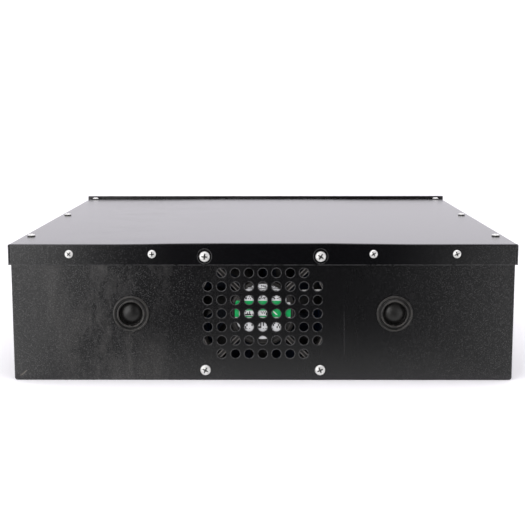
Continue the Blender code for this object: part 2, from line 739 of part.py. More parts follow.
def breaker_lever():
    """Lever on a drum, its origin on the pivot and its tip down at rest."""
    pivot = (BREAKER_X, LEVER_PIVOT_Y, PANEL_MIDDLE)
    lever = cylinders("breaker_lever", [(0, 0, 0)], LEVER_DRUM, LEVER_WIDTH, "X", 20)
    lever.location = pivot
    paddle = box(
        "lever_paddle", (0, -LEVER_LENGTH / 2, 0), (LEVER_WIDTH, LEVER_LENGTH, 0.0050),
        lambda a, b: along(0)(a, b) and a.y < 0, 0.0020, 3,
    )
    paddle.data.transform(Matrix.Translation((0, -LEVER_LENGTH / 2, 0)))
    paddle.location = pivot
    paddle.rotation_euler = (LEVER_REST, 0, 0)
    join(lever, paddle)
    return solid(lever, LEVER_PLASTIC, True)


def power_button():
    """Round steel push button in its own threaded bezel."""
    place = (BUTTON_X, PANEL_FRONT, POWER_Z)
    bezel = [
        (0.0064, 0.0022), (0.0092, 0.0022), (0.0100, 0.0014), (0.0100, GAP), (0.0078, GAP),
        (0.0078, -0.0180), (0, -0.0180),
    ]
    well = [(0, -0.0100), (0.0064, -0.0100)]
    ring = turned("power_button_bezel", well + bezel, place, FRONTWARD, 20)
    cap = [(0, 0.0034), (0.0052, 0.0034), (0.0059, 0.0028), (0.0059, -0.0060), (0, -0.0060)]
    button = turned("power_button", cap, place, FRONTWARD, 20)
    solid(ring, BEZEL_METAL, True)
    solid(button, BEZEL_METAL, True)


def reset_button():
    """Small button with a shoulder behind the panel."""
    behind = -PANEL_SHEET - GAP
    cap = [
        (0, 0.0012), (0.0020, 0.0012), (0.0025, 0.0008), (0.0025, behind), (0.0040, behind),
        (0.0040, behind - 0.0012), (0.0020, behind - 0.0012), (0.0020, behind - 0.0050),
        (0, behind - 0.0050),
    ]
    button = turned("reset_button", cap, (BUTTON_X, PANEL_FRONT, RESET_Z), FRONTWARD, 16)
    return solid(button, RESET_PLASTIC, True)


def light_bar():
    """Window over the status lights, with a round lens for each."""
    front = PANEL_FRONT - 0.0005
    depth = 0.0060
    bar = box("light_bar", (LIGHTS_X, front + depth / 2, POWER_Z), (LIGHTS_SIZE[0], depth, LIGHTS_SIZE[1]))
    lenses = [(LIGHTS_X + (i - 2.5) * 0.009, front, POWER_Z) for i in range(6)]
    join(bar, cylinders("light_lenses", lenses, 0.0018, 0.0012, "Y", 12))
    return solid(bar, LIGHTS_PLASTIC)


def comm_ports():
    """Block of three communication sockets, each with a notch for the plug's latch."""
    width, depth, height = PORTS_SIZE
    front = PANEL_FRONT - 0.0005
    block = box("comm_ports", (PORTS_X, front + depth / 2, PORTS_Z), (width, depth, height))
    wide, deep, high = PORT_SIZE
    places = [PORTS_X + (i - 1) * PORT_PITCH for i in range(3)]
    sockets = boxes("sockets", [(x, front, PORTS_Z + 0.0010) for x in places], (wide, 2 * deep, high))
    notches = boxes("notches", [(x, front, PORTS_Z - 0.0040) for x in places], (0.0060, 2 * deep, 0.0040))
    cut(block, sockets, notches)
    return solid(block, PORT_PLASTIC)


def terminal(name, x, finish):
    """A panel insulator with a stud through it."""
    place = (x, PANEL_FRONT, PANEL_MIDDLE)
    shell = [
        (0.0066, 0.0060), (0.0110, 0.0060), (0.0120, 0.0050), (0.0120, 0.0030), (0.0180, 0.0030),
        (0.0180, GAP), (0.0120, GAP), (0.0120, -0.0160), (0.0066, -0.0160), (0.0066, 0.0060),
    ]
    insulator = turned("terminal_" + name, shell, place, FRONTWARD, 20)
    solid(insulator, finish, True)
    post = [
        (0, 0.0260), (0.0034, 0.0260), (0.0040, 0.0252), (0.0040, 0.0085), (0.0095, 0.0085),
        (0.0095, 0.0063), (0.0063, 0.0063), (0.0063, -0.0240), (0, -0.0240),
    ]
    stud = turned("stud_" + name, post, place, FRONTWARD, 20)
    solid(stud, BRASS, True)


def build():
    """Makes every part."""
    base_tray()
    rear_panel()
    top_cover()
    screws()
    grommet("grommet_left", -GROMMET_X)
    grommet("grommet_right", GROMMET_X)
    fan_frame()
    fan_impeller()
    fan_label()
    fan_lead()
    cells()
    end_plates()
    link_trays()
    management_board()
    heatsink()
    front_panel()
    handle("handle_left", -HANDLE_X)
    handle("handle_right", HANDLE_X)
    breaker()
    breaker_lever()
    power_button()
    reset_button()
    light_bar()
    comm_ports()
    terminal("negative", TERMINAL_X["negative"], BLACK_PLASTIC)
    terminal("positive", TERMINAL_X["positive"], RED_PLASTIC)


build()
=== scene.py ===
"""Looks of the server rack battery: sheet metal, screws, fan, grommets and front fittings on the frame."""
import math
import random

import bmesh
import bpy
from mathutils import Matrix, Quaternion, Vector, geometry


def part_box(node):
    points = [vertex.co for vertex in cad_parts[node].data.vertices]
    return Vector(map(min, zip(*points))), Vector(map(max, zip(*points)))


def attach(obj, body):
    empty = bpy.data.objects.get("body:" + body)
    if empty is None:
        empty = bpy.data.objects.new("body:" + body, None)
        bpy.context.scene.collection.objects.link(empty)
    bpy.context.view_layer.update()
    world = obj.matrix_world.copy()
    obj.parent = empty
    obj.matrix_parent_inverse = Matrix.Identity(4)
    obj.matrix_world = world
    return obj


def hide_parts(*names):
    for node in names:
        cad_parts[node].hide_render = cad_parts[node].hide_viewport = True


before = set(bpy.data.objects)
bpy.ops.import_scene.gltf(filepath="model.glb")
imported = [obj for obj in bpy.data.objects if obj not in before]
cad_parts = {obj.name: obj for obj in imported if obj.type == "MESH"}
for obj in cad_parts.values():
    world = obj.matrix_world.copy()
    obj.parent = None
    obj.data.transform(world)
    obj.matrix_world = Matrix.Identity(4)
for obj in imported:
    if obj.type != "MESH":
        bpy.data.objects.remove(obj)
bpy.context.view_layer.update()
dice = random.Random(471)

RIGHT, REAR, UP = Vector((1, 0, 0)), Vector((0, 1, 0)), Vector((0, 0, 1))
FRONT = -REAR
QUARTER = math.pi / 2  # a right angle
MM = 0.001
GAP = 0.3 * MM  # clearance between two parts
SHEET = 0.0012
PANEL_SHEET = 0.0020
EDGE = 0.00022  # rounding of a cut sheet's edge
SUPPORT = 0.0007  # ring of mesh that holds the flat face beside a rounded edge
LID_BEND = 0.0014
TRAY_BEND = 0.0028
TRAY_FLANGE = 0.0160
CROWN = 0.0009  # how far the lid bows up in its middle
STEP = 0.025  # largest step of the lid's mesh
HOLE_PITCH = 0.0125
HOLE_RADIUS = 0.0042
LEAD_RADIUS = 0.0011
SMALL_SCREW = (0.0039, 0.0024, 0.0019, 0.0080)  # radius and height of the head, then of the shank
FAN_SCREW = (0.0050, 0.0030, 0.0023, 0.0110)
LENS_PITCH = 0.009  # between the light bar's lenses

TOP_SCREWS = [f"cover_screw_{side}_{row}" for side in ("left", "right") for row in (1, 2, 3)]
REAR_SCREWS = [f"cover_screw_rear_{number}" for number in (1, 2, 3, 4)]
FAN_SCREWS = [f"fan_screw_{number}" for number in (1, 2, 3, 4)]
GROMMETS = ("grommet_left", "grommet_right")

LID_LOW, LID_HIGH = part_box("top_cover")
TRAY_LOW, TRAY_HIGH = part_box("base_tray")
REAR_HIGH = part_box("rear_panel")[1]
PANEL_LOW, PANEL_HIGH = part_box("front_panel")
FAN_LOW, FAN_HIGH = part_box("fan_frame")
FAN_Z = (FAN_LOW.z + FAN_HIGH.z) / 2

FOCAL_LENGTH = 75.924
CAMERA_PLACE = (-0.00799, 1.22065, 0.25578)
CAMERA_AIM = (0.00810, -0.98917, -0.14652)
CAMERA_ROLL = -0.0745  # degrees
WORLD_LIGHT = 1.20
WORLD_COLOUR = (0.965, 0.940, 1.0, 1.0)
# Corners, glow near the battery (from, to, strength), start and end of the paler sides, their strengths
REFLECTED_CARDS = (
    (
        [(-1.4, 0.245, 0.001), (1.4, 0.245, 0.001), (1.4, 1.6, 0.001), (-1.4, 1.6, 0.001)],
        (0.22, 0.50, 0.86), (0.104, 0.27), (1.75, 1.08),
    ),
    (
        [(-3.0, 1.6, -0.1), (3.0, 1.6, -0.1), (3.0, 1.6, 3.0), (-3.0, 1.6, 3.0)],
        (0.0, 1.0, 0.0), (0.12, 0.30), (1.3, 0.7),
    ),
)
# Name, place, target, size, power and colour
SOFT_LIGHTS = (
    ("left_softbox", (0.94, 1.55, 0.70), (0.94, 0.0, 0.70), (1.0, 1.4), 9.0, (1.0, 0.99, 0.98)),
    ("top_softbox", (0.0, 0.5, 2.2), (0.0, 0.3, 0.0), (2.0, 1.6), 14.0, (1.0, 1.0, 1.0)),
)


# ---------------------------------------------------------------- materials

class Finish:
    """A Principled material built up from noise in the piece's own coordinates."""

    def __init__(self, name, colour, roughness, metallic=0.0, **sockets):
        self.material = bpy.data.materials.new(name)
        self.material.use_nodes = True
        self.tree = self.material.node_tree
        self.shader = self.tree.nodes["Principled BSDF"]
        self.colour, self.roughness, self.normal = (*colour, 1.0), roughness, None
        for socket, value in {"Metallic": metallic, **sockets}.items():
            self.shader.inputs[socket.replace("_", " ")].default_value = value
        self.place = self.add("TexCoord").outputs["Object"]

    def add(self, kind, inputs=(), **settings):
        """A new shader node with these settings and inputs."""
        node = self.tree.nodes.new("ShaderNode" + kind)
        for name, value in settings.items():
            setattr(node, name, value)
        for socket, value in dict(inputs).items():
            self.feed(node.inputs[socket], value)
        return node

    def feed(self, socket, value):
        """Links a socket, or sets it; a letter stands for one of the piece's own coordinates."""
        if isinstance(value, str):
            value = self.add("SeparateXYZ", {0: self.place}).outputs[value]
        if isinstance(value, bpy.types.NodeSocket):
            self.tree.links.new(value, socket)
        else:
            socket.default_value = value

    def maths(self, operation, *values, clamp=False):
        """One Math node."""
        return self.add("Math", enumerate(values), operation=operation, use_clamp=clamp).outputs[0]

    def times(self, first, second):
        """The product of two values."""
        return self.maths("MULTIPLY", first, second)

    def span(self, value, low, high, start=0.0, end=1.0, kind="LINEAR"):
        """Maps low..high to start..end, clamped."""
        values = enumerate((value, low, high, start, end))
        return self.add("MapRange", values, interpolation_type=kind).outputs[0]

    def noise(self, scale, factors=(1, 1, 1), detail=3.0, rough=0.5, seed=0.0, turn=(0, 0, 0)):
        """Fractal noise over turned and stretched coordinates; scale is in features to the metre."""
        place = self.add("Mapping", {"Vector": self.place, "Rotation": turn, "Scale": factors}).outputs[0]
        inputs = {"Vector": place, "W": seed, "Scale": scale, "Detail": detail, "Roughness": rough}
        return self.add("TexNoise", inputs, noise_dimensions="4D").outputs["Fac"]

    def cells(self, scale, seed):
        """Cells round scattered points, with the distance from the point and a random colour each."""
        inputs = {"Vector": self.place, "W": seed, "Scale": scale}
        return self.add("TexVoronoi", inputs, voronoi_dimensions="4D").outputs

    def sparkle(self, scale, seed):
        """Many small soft dots, each with a brightness of its own."""
        cells = self.cells(scale, seed)
        bright = self.add("SeparateXYZ", {0: cells["Color"]}).outputs[0]
        return self.times(bright, self.span(cells["Distance"], 0.66, 0.16))

    def tint(self, factor, colour, amount=1.0):
        """Covers the colour so far with another one where factor is high."""
        share = self.maths("MULTIPLY", factor, amount, clamp=True)
        inputs = {0: share, 6: self.colour, 7: (*colour, 1.0)}
        self.colour = self.add("Mix", inputs, data_type="RGBA").outputs[2]

    def rougher(self, factor, amount):
        """Adds amount times factor to the roughness."""
        self.roughness = self.maths("MULTIPLY_ADD", factor, amount, self.roughness, clamp=True)

    def bump(self, height, distance, strength=1.0):
        """Raises the surface by height times distance, on top of the bumps so far."""
        inputs = {"Strength": strength, "Distance": distance, "Height": height}
        if self.normal:
            inputs["Normal"] = self.normal
        self.normal = self.add("Bump", inputs).outputs[0]

    def marked(self, name, low, high):
        """Where the mesh's own value of this name is high."""
        return self.span(self.add("Attribute", attribute_name=name).outputs["Fac"], low, high)

    def rubbed_and_lit_edges(self, seed=0.0, low=0.46, high=0.62):
        """High on rubbed edges, where the tint is also a painted edge highlight; low and high set how patchy
        it is.
        """
        patches = self.span(self.noise(260, detail=4, seed=seed), low, high)
        return self.times(self.marked("rubbed_and_lit_edges", 0.25, 0.9), patches)

    def scratches(self, angle, scale, threshold, seed):
        """Thin long lines at an angle about the Y axis."""
        lines = self.noise(scale, (1, 1, 0.025), 2, 0.5, seed, (0, angle, 0))
        return self.span(lines, threshold, threshold + 0.03)

    def done(self):
        """Links the colour, roughness and bumps, and gives the material."""
        made = {"Base Color": self.colour, "Roughness": self.roughness, "Normal": self.normal}
        for socket, value in made.items():
            if value is not None:
                self.feed(self.shader.inputs[socket], value)
        return self.material


def powder_coat(name, dust=0.0, seed=0.0, sides=None, texture=1.0, roughness=0.25, grain=1.0, rubbed_and_lit=0.17,
                fewer_glints_on_top=False):
    """Black textured powder coat, with painted glints on its grain, cloudy dust, fine scratches, and rubbed
    edges that are also painted lighter as a rim highlight.

    Sides are where the painted glints fade from left to middle, their least share there, and from middle to
    right; the glints are brightest at the left, where the light falls.
    """
    made = Finish(name, (0.0018, 0.0018, 0.0025), roughness)
    fine = made.noise(900, detail=3, rough=0.7, seed=seed)
    dots = made.span(made.cells(900, seed + 1)["Distance"], 0.58, 0.12)
    # painted glints: pale dots in the colour on the coat's grain, standing in for light caught by the grains
    painted_glints = made.span(made.sparkle(1250, seed + 8), 0.05, 0.70)
    # fewer painted glints on the lid's top face
    if fewer_glints_on_top:
        painted_glints = made.times(painted_glints, made.span("Z", LID_HIGH.z - 0.0016, LID_HIGH.z - 0.0006, 1.0, 0.30))
    # painted light: most glints at the left, where the light falls, fewest in the middle
    if sides:
        left = made.span("X", *sides[:3], 1.0)
        right = made.span("X", *sides[3:], 0.0, 0.75)
        painted_glints = made.times(painted_glints, made.maths("ADD", left, right))
    # grain sets how strongly the painted glints show
    made.tint(painted_glints, (0.092, 0.091, 0.089), 0.84 * grain)
    clouds = made.noise(17, (1.6, 1.6, 0.6), 6, 0.62, seed + 2)
    patches = made.noise(5.5, detail=2, seed=seed + 3)
    cloudy = made.times(made.span(clouds, 0.44, 0.68), made.span(patches, 0.36, 0.54))
    streaks = made.span(made.noise(70, (1, 1, 0.16), 3, 0.6, seed + 4), 0.46, 0.74)
    film = made.maths("MULTIPLY_ADD", made.times(streaks, cloudy), 0.9, cloudy, clamp=True)
    if sides:
        bare = made.span("X", 0.205, 0.150, 0.15, 1.0)
        clouded = made.span("X", 0.01, 0.13)
        film = made.times(film, made.maths("MULTIPLY_ADD", clouded, bare, made.times(right, 0.12)))
    specks = made.span(made.noise(800, detail=4, rough=0.75, seed=seed + 5), 0.40, 0.64, 0.10, 1.0)
    film = made.times(film, specks)
    made.tint(film, (0.150, 0.142, 0.130), dust)
    lint = made.span(made.cells(95, seed + 6)["Distance"], 0.06, 0.03)
    made.tint(lint, (0.16, 0.15, 0.13), 0.5 * max(dust, 0.3))
    made.tint(made.scratches(0.5, 240, 0.735, seed + 7), (0.09, 0.09, 0.09), 0.35)
    # rubbed paint on the edges, and a painted highlight round the grille's hole rims
    made.tint(made.rubbed_and_lit_edges(seed, 0.34, 0.50), (rubbed_and_lit, rubbed_and_lit, rubbed_and_lit), 0.8)
    made.rougher(clouds, 0.067 * dust)
    made.rougher(film, 0.20 * texture)
    made.bump(dots, 0.00005 * texture, 0.5)
    made.bump(fine, 0.00012 * texture, 0.28)
    return made


def scuff(made, start, end):
    """Adds a short pale scuff between two (x, z) places."""
    along = Vector(end) - Vector(start)
    length = along.length
    along.normalize()
    off_x, off_z = made.maths("SUBTRACT", "X", start[0]), made.maths("SUBTRACT", "Z", start[1])
    ahead = made.maths("MULTIPLY_ADD", off_x, along.x, made.times(off_z, along.y))
    aside = made.maths("MULTIPLY_ADD", off_x, -along.y, made.times(off_z, along.x))
    off_middle = made.maths("ABSOLUTE", made.maths("SUBTRACT", ahead, length / 2))
    narrow = made.span(made.maths("ABSOLUTE", aside), 0.0009, 0.0002)
    mask = made.times(narrow, made.span(off_middle, length / 2, length / 3))
    ragged = made.span(made.noise(900, detail=3, seed=21.0), 0.35, 0.6)
    made.tint(made.times(mask, ragged), (0.20, 0.18, 0.15), 0.7)


def zinc(name):
    """Bright zinc plating with fine turning marks and dull spots, with painted shade in the cross recess and
    under the head's rim.
    """
    made = Finish(name, (0.80, 0.80, 0.775), 0.34, 0.66)
    blotch = made.noise(650, detail=4, rough=0.6)
    made.tint(made.span(blotch, 0.50, 0.72), (0.34, 0.34, 0.32), 0.6)
    # painted shade: the cross recess and the head's lower side under its rim are darkened in the colour
    made.tint(made.marked("painted_shade", 0.0, 0.9), (0.030, 0.029, 0.028), 0.93)
    marks = made.noise(3500, (1, 1, 0.15), 2, 0.5, 3.0)
    made.rougher(made.span(blotch, 0.4, 0.7), 0.16)
    made.rougher(marks, 0.06)
    made.bump(marks, 0.000012, 0.6)
    made.bump(blotch, 0.00003, 0.5)
    return made.done()


def moulded(name, colour, roughness, seed, grain=0.00003, light=None, rubbed_and_lit=0.3, haze=0.35,
            patchy=(0.46, 0.62)):
    """Moulded plastic or rubber with a fine grain, haze, and paler edges that are partly rubbed and partly a
    painted highlight.
    """
    made = Finish(name, colour, roughness)
    light = light or tuple(min(1.0, c * 1.6 + 0.012) for c in colour)
    cloud = made.noise(70, detail=5, rough=0.6, seed=seed)
    grit = made.noise(2600, detail=2, seed=seed + 1)
    made.tint(made.span(cloud, 0.45, 0.75), light, haze)
    made.tint(made.span(grit, 0.62, 0.75), light, haze)
    # paler edges: partly rubbed, partly a painted highlight
    made.tint(made.rubbed_and_lit_edges(seed, *patchy), light, rubbed_and_lit)
    made.rougher(made.span(cloud, 0.35, 0.7), 0.12)
    made.rougher(made.scratches(0.9, 420, 0.70, seed + 2), -0.10)
    made.bump(grit, grain, 0.7)
    made.bump(cloud, 0.00012, 0.25)
    return made.done()


def metal(name, colour, roughness, seed, brush=(1, 1, 0.05)):
    """Machined or drawn metal with a brushed grain and faint stains."""
    made = Finish(name, colour, roughness, 1.0)
    grain = made.noise(2400, brush, 3, 0.6, seed)
    stain = made.noise(110, detail=4, seed=seed + 1)
    made.tint(made.span(stain, 0.5, 0.75), tuple(c * 0.62 for c in colour), 0.5)
    made.rougher(grain, 0.12)
    made.rougher(made.span(stain, 0.4, 0.7), 0.10)
    made.bump(grain, 0.000015, 0.7)
    return made.done()


# ---------------------------------------------------------------- shapes

def offset_loop(loop, distance):
    """A closed loop of 2-D points moved to its left, with mitred corners."""
    moved = []
    for i, point in enumerate(loop):
        before = (point - loop[i - 1]).normalized()
        after = (loop[(i + 1) % len(loop)] - point).normalized()
        first = Vector((-before.y, before.x))
        second = Vector((-after.y, after.x))
        moved.append(point + (first + second) * (distance / (1 + first.dot(second))))
    return moved


def ring(x, y, radius, count):
    """A round hole's loop."""
    steps = [2 * math.pi * i / count for i in range(count)]
    return [Vector((x + radius * math.cos(a), y + radius * math.sin(a))) for a in steps]


def fillet(points, steps=4):
    """A line of 2-D points with rounded corners; a point's third number is its radius."""
    made = []
    for i, point in enumerate(points):
        here = Vector(point[:2])
        if len(point) < 3:
            made.append(here)
            continue
        before = Vector(points[i - 1][:2]) - here
        after = Vector(points[(i + 1) % len(points)][:2]) - here
        reach = min(point[2], before.length * 0.49, after.length * 0.49)
        start = here + before.normalized() * reach
        end = here + after.normalized() * reach
        for t in (step / steps for step in range(steps + 1)):
            made.append(start * (1 - t) ** 2 + here * (2 * t * (1 - t)) + end * t ** 2)
    return made


def mm(*points):
    """Points given in millimetres, their corner radii too."""
    return [tuple(MM * value for value in point) for point in points]


def rectangle(low_x, low_y, high_x, high_y, radius):
    """A loop round a rectangle with rounded corners."""
    corners = ((low_x, low_y), (high_x, low_y), (high_x, high_y), (low_x, high_y))
    return fillet([(x, y, radius) for x, y in corners])


def inside(point, loop):
    """Tells whether a 2-D point lies in a loop."""
    found = False
    for a, b in zip(loop, loop[1:] + loop[:1]):
        if (a.y > point.y) != (b.y > point.y):
            if point.x < (b.x - a.x) * (point.y - a.y) / (b.y - a.y) + a.x:
                found = not found
    return found


def near_hole(point, hole, margin=0.0):
    """Tells whether a point is in a hole, or with a margin, whether it is near the hole's box."""
    for k in (0, 1):
        values = [p[k] for p in hole]
        if not min(values) - margin < point[k] < max(values) + margin:
            return False
    return margin > 0 or inside(point, hole)


def linked(name, data):
    """A new object in the scene."""
    obj = bpy.data.objects.new(name, data)
    bpy.context.scene.collection.objects.link(obj)
    return obj


def new_object(name, bm):
    """An object from a bmesh whose faces are made to face out."""
    bmesh.ops.recalc_face_normals(bm, faces=bm.faces)
    mesh = bpy.data.meshes.new(name)
    bm.to_mesh(mesh)
    bm.free()
    mesh.shade_smooth()
    return linked(name, mesh)


def weigh(obj):
    """Keeps flat faces flat beside small rounded edges."""
    modifier = obj.modifiers.new("flat_faces", "WEIGHTED_NORMAL")
    modifier.mode = "FACE_AREA"
    modifier.weight = 80
    modifier.keep_sharp = True
    return obj


def crease(obj, degrees):
    """Smooth shading, with sharp edges above an angle."""
    obj.data.shade_smooth()
    obj.data.set_sharp_from_angle(angle=math.radians(degrees))
    return obj


def bridge(bm, rows, capped=False):
    """Joins closed rows of vertices with faces; a row of one vertex is a tip."""
    for first, second in zip(rows, rows[1:]):
        count = max(len(first), len(second))
        for i in range(count):
            j = (i + 1) % count
            corners = [row[k % len(row)] for row, k in ((first, i), (first, j), (second, j), (second, i))]
            corners = [c for k, c in enumerate(corners) if c not in corners[:k]]
            if len(corners) > 2:
                bm.faces.new(corners)
    if capped:
        bm.faces.new(rows[0])
        bm.faces.new(rows[-1])


def sheet(name, outline, holes, thickness, place, lines=(), spots=(), edge=EDGE):
    """A sheet with rounded edges and holes; place(u, v, depth) bends its flat shape into the frame.

    Lines are folds, from one of the outline's points to another; spots are points that bow with the sheet.
    """
    bm = bmesh.new()
    # the edge roundings are marked for rubbed edges and their painted highlight
    rubbed_and_lit = bm.verts.layers.float.new("rubbed_and_lit_edges")
    turn = [QUARTER * i / 3 for i in range(4)]
    rim = [(edge + SUPPORT, 0.0, 0.0)]
    rim += [(edge * (1 - math.sin(a)), edge * (1 - math.cos(a)), 1.0) for a in turn]
    rim += [(inset, thickness - depth, value) for inset, depth, value in reversed(rim)]
    flat, joined, outer, inner, flat_loops = [], [], [], [], []

    def vert(point, depth, value=0.0):
        made = bm.verts.new(place(point.x, point.y, depth))
        made[rubbed_and_lit] = value
        return made

    def extra(point):
        flat.append(Vector(point))
        outer.append(vert(flat[-1], 0.0))
        inner.append(vert(flat[-1], thickness))
        return len(flat) - 1

    outline = [Vector(point) for point in outline]
    for loop in [outline] + [list(reversed(hole)) for hole in holes]:
        rows = [[vert(p, depth, value) for p in offset_loop(loop, inset)] for inset, depth, value in rim]
        bridge(bm, rows)
        start = len(flat)
        flat_loops.append(offset_loop(loop, rim[0][0]))
        flat += flat_loops[-1]
        joined += [(start + i, start + (i + 1) % len(loop)) for i in range(len(loop))]
        outer += rows[0]
        inner += rows[-1]
    for line in lines:
        ends = [
            min(range(len(outline)), key=lambda i: (outline[i] - Vector(line[k])).length) for k in (0, -1)
        ]
        chain = [ends[0]] + [extra(point) for point in line[1:-1]] + [ends[1]]
        joined += list(zip(chain, chain[1:]))
    for point in spots:
        extra(point)
    points, _, triangles, origins = geometry.delaunay_2d_cdt(flat, joined, [], 0, 1e-7)[:4]
    first_of = [ids[0] if ids else extra(points[i]) for i, ids in enumerate(origins)]
    for triangle in triangles:
        middle = sum((Vector(points[i]) for i in triangle), Vector((0, 0))) / 3
        if inside(middle, flat_loops[0]) and not any(near_hole(middle, hole) for hole in flat_loops[1:]):
            ids = [first_of[i] for i in triangle]
            bm.faces.new([outer[i] for i in ids])
            bm.faces.new([inner[i] for i in reversed(ids)])
    bmesh.ops.delete(bm, geom=[v for v in bm.verts if not v.link_faces], context="VERTS")
    return weigh(new_object(name, bm))


def upright(y, inward):
    """The place function of a flat upright sheet whose outer face is at y."""
    return lambda u, v, depth: Vector((u, y + inward * depth, v))


def facing(place, direction, spin=0.0):
    """A matrix that puts a shape's +Z along a direction, turned about it by spin."""
    turn = Vector(direction).to_track_quat("Z", "Y") @ Quaternion((0, 0, 1), spin)
    return Matrix.Translation(place) @ turn.to_matrix().to_4x4()


def rubbed_and_lit_layer(bm):
    """The bmesh's layer of edge values, for rubbed edges and their painted highlight."""
    return bm.verts.layers.float.get("rubbed_and_lit_edges") or bm.verts.layers.float.new("rubbed_and_lit_edges")


def mark_rubbed_and_lit(bm):
    """Sets the edge value, for rubbed edges and their painted highlight, from how sharply the surface turns
    outwards at each vertex.
    """
    bmesh.ops.recalc_face_normals(bm, faces=bm.faces)
    rubbed_and_lit = rubbed_and_lit_layer(bm)
    bm.normal_update()
    for vert in bm.verts:
        turns = [edge.calc_face_angle_signed(0.0) for edge in vert.link_edges if edge.is_manifold]
        vert[rubbed_and_lit] = clamped(max(turns, default=0.0) / 0.5)


def turned(name, profile, matrix, steps=48, closed=False, sharp=None, rounding=4):
    """A turned piece, from (radius, height, corner's radius) points; a closed profile makes a ring."""
    bm = bmesh.new()
    rows = []
    for radius, height in fillet(profile, rounding):
        spots = ring(0, 0, radius, steps if radius > 1e-9 else 1)
        rows.append([bm.verts.new(matrix @ Vector((*spot, height))) for spot in spots])
    bridge(bm, rows + (rows[:1] if closed else []))
    mark_rubbed_and_lit(bm)
    obj = new_object(name, bm)
    return crease(obj, sharp) if sharp else obj


def block(name, low, high, radius=0.0, segments=3):
    """A box with rounded edges."""
    bm = bmesh.new()
    low, high = Vector(low), Vector(high)
    matrix = Matrix.Translation((low + high) / 2) @ Matrix.Diagonal((*(high - low), 1.0))
    bmesh.ops.create_cube(bm, size=1.0, matrix=matrix)
    if radius > 0:
        bmesh.ops.bevel(bm, geom=bm.edges[:], offset=radius, segments=segments, profile=0.5, affect="EDGES")
    return new_object(name, bm)


def peg(x, z, half_x, half_z, y_low, y_high, radius=0.0, segments=3):
    """A block along Y, from its middle and half its size across."""
    low, high = (x - half_x, y_low, z - half_z), (x + half_x, y_high, z + half_z)
    return block("peg", low, high, radius, segments)


def boolean(obj, cutter, operation="DIFFERENCE"):
    """Cuts an object with another or joins them, at once, and drops the other."""
    modifier = obj.modifiers.new("cut", "BOOLEAN")
    modifier.operation = operation
    modifier.object = cutter
    modifier.solver = "EXACT"
    bake(obj)
    bpy.data.objects.remove(cutter, do_unlink=True)
    return obj


def bake(obj):
    """Turns an object's modifiers into its mesh."""
    bpy.context.view_layer.update()
    graph = bpy.context.evaluated_depsgraph_get()
    mesh = bpy.data.meshes.new_from_object(obj.evaluated_get(graph))
    obj.modifiers.clear()
    obj.data = mesh
    return obj


def soften(obj, width):
    """Rounds an object's sharp edges and evens its shading."""
    modifier = obj.modifiers.new("soft_edges", "BEVEL")
    modifier.width, modifier.segments = width, 2
    modifier.limit_method, modifier.angle_limit = "ANGLE", math.radians(35)
    obj.data.shade_smooth()
    return weigh(obj)


def merged(name, *objs):
    """Several meshes made into one piece."""
    bm = bmesh.new()
    for obj in objs:
        bm.from_mesh(bake(obj).data)
        bpy.data.objects.remove(obj, do_unlink=True)
    mesh = bpy.data.meshes.new(name)
    bm.to_mesh(mesh)
    bm.free()
    return linked(name, mesh)


def tube(name, route, radius, sides=24):
    """A round bar along a route, with slightly chamfered ends."""
    bm = bmesh.new()
    rows, side, last = [], None, len(route) - 1
    cut = 0.12  # the chamfer's share of the radius
    rims = {0: ((0.0, 1 - cut), (cut, 1.0)), last: ((-cut, 1.0), (0.0, 1 - cut))}
    for i, point in enumerate(route):
        ahead = (route[min(i + 1, last)] - route[max(i - 1, 0)]).normalized()
        side = side if side else ahead.orthogonal().normalized()
        side = (side - ahead * side.dot(ahead)).normalized()
        other = ahead.cross(side)
        for shift, scale in rims.get(i, ((0.0, 1.0),)):
            rows.append([
                bm.verts.new(point + (ahead * shift + side * spot.x + other * spot.y) * radius)
                for spot in ring(0, 0, scale, sides)
            ])
    bridge(bm, rows, capped=True)
    mark_rubbed_and_lit(bm)
    return new_object(name, bm)


def follow(distance, steps, start, depth):
    """The place at a distance along straights (length, 0) and bends (radius, angle), depth to its right."""
    (x, z), heading = start, 0.0
    for size, turn in steps:
        run = min(distance, size * abs(turn) if turn else size)
        if turn:
            side = math.copysign(1, turn)
            ahead = heading + side * run / size
            x += side * size * (math.sin(ahead) - math.sin(heading))
            z -= side * size * (math.cos(ahead) - math.cos(heading))
            heading = ahead
        else:
            x += run * math.cos(heading)
            z += run * math.sin(heading)
        distance -= run
        if distance <= 0:
            break
    return x + depth * math.sin(heading), z - depth * math.cos(heading)


def clamped(value):
    """The value kept between zero and one."""
    return max(0.0, min(1.0, value))


def steps_between(low, high, size):
    """Evenly spaced numbers from low to high, at most size apart."""
    count = max(1, math.ceil((high - low) / size))
    return [low + (high - low) * i / count for i in range(count + 1)]


def middle_of(node):
    """The middle of a CAD node's box."""
    return sum(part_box(node), Vector()) / 2


def rings_at(names, radius, count):
    """Round holes where CAD nodes go through an upright panel."""
    return [ring(place.x, place.z, radius, count) for place in map(middle_of, names)]


def show(obj, finish, slot, *stands_for, body="case"):
    """Gives a piece its material, body and the CAD nodes that it stands for; slot is not used."""
    obj.data.materials.clear()
    obj.data.materials.append(finish)
    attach(obj, body)
    if stands_for:
        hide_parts(*stands_for)
    return obj


# ---------------------------------------------------------------- case

def rear_panel(finish):
    """Rear wall: grille, grommet holes and screw holes with rounded rims."""
    half, top = REAR_HIGH.x, REAR_HIGH.z
    outline = fillet([(-half, 0, TRAY_BEND), (half, 0, TRAY_BEND), (half, top), (-half, top)], 5)
    holes = [
        ring(column * HOLE_PITCH, FAN_Z + row * HOLE_PITCH, HOLE_RADIUS, 36)
        for column in range(-4, 5) for row in range(-3, 4) if abs(column) < 4 or abs(row) < 3
    ]
    holes += rings_at(GROMMETS, 0.0140, 64) + rings_at(FAN_SCREWS, FAN_SCREW[2] + GAP, 24)
    holes += rings_at(REAR_SCREWS, SMALL_SCREW[2] + GAP, 24)
    panel = sheet("rear_panel_pressed", outline, holes, SHEET, upright(REAR_HIGH.y, -1), edge=0.00026)
    show(panel, finish, "powder_coat", "rear_panel")


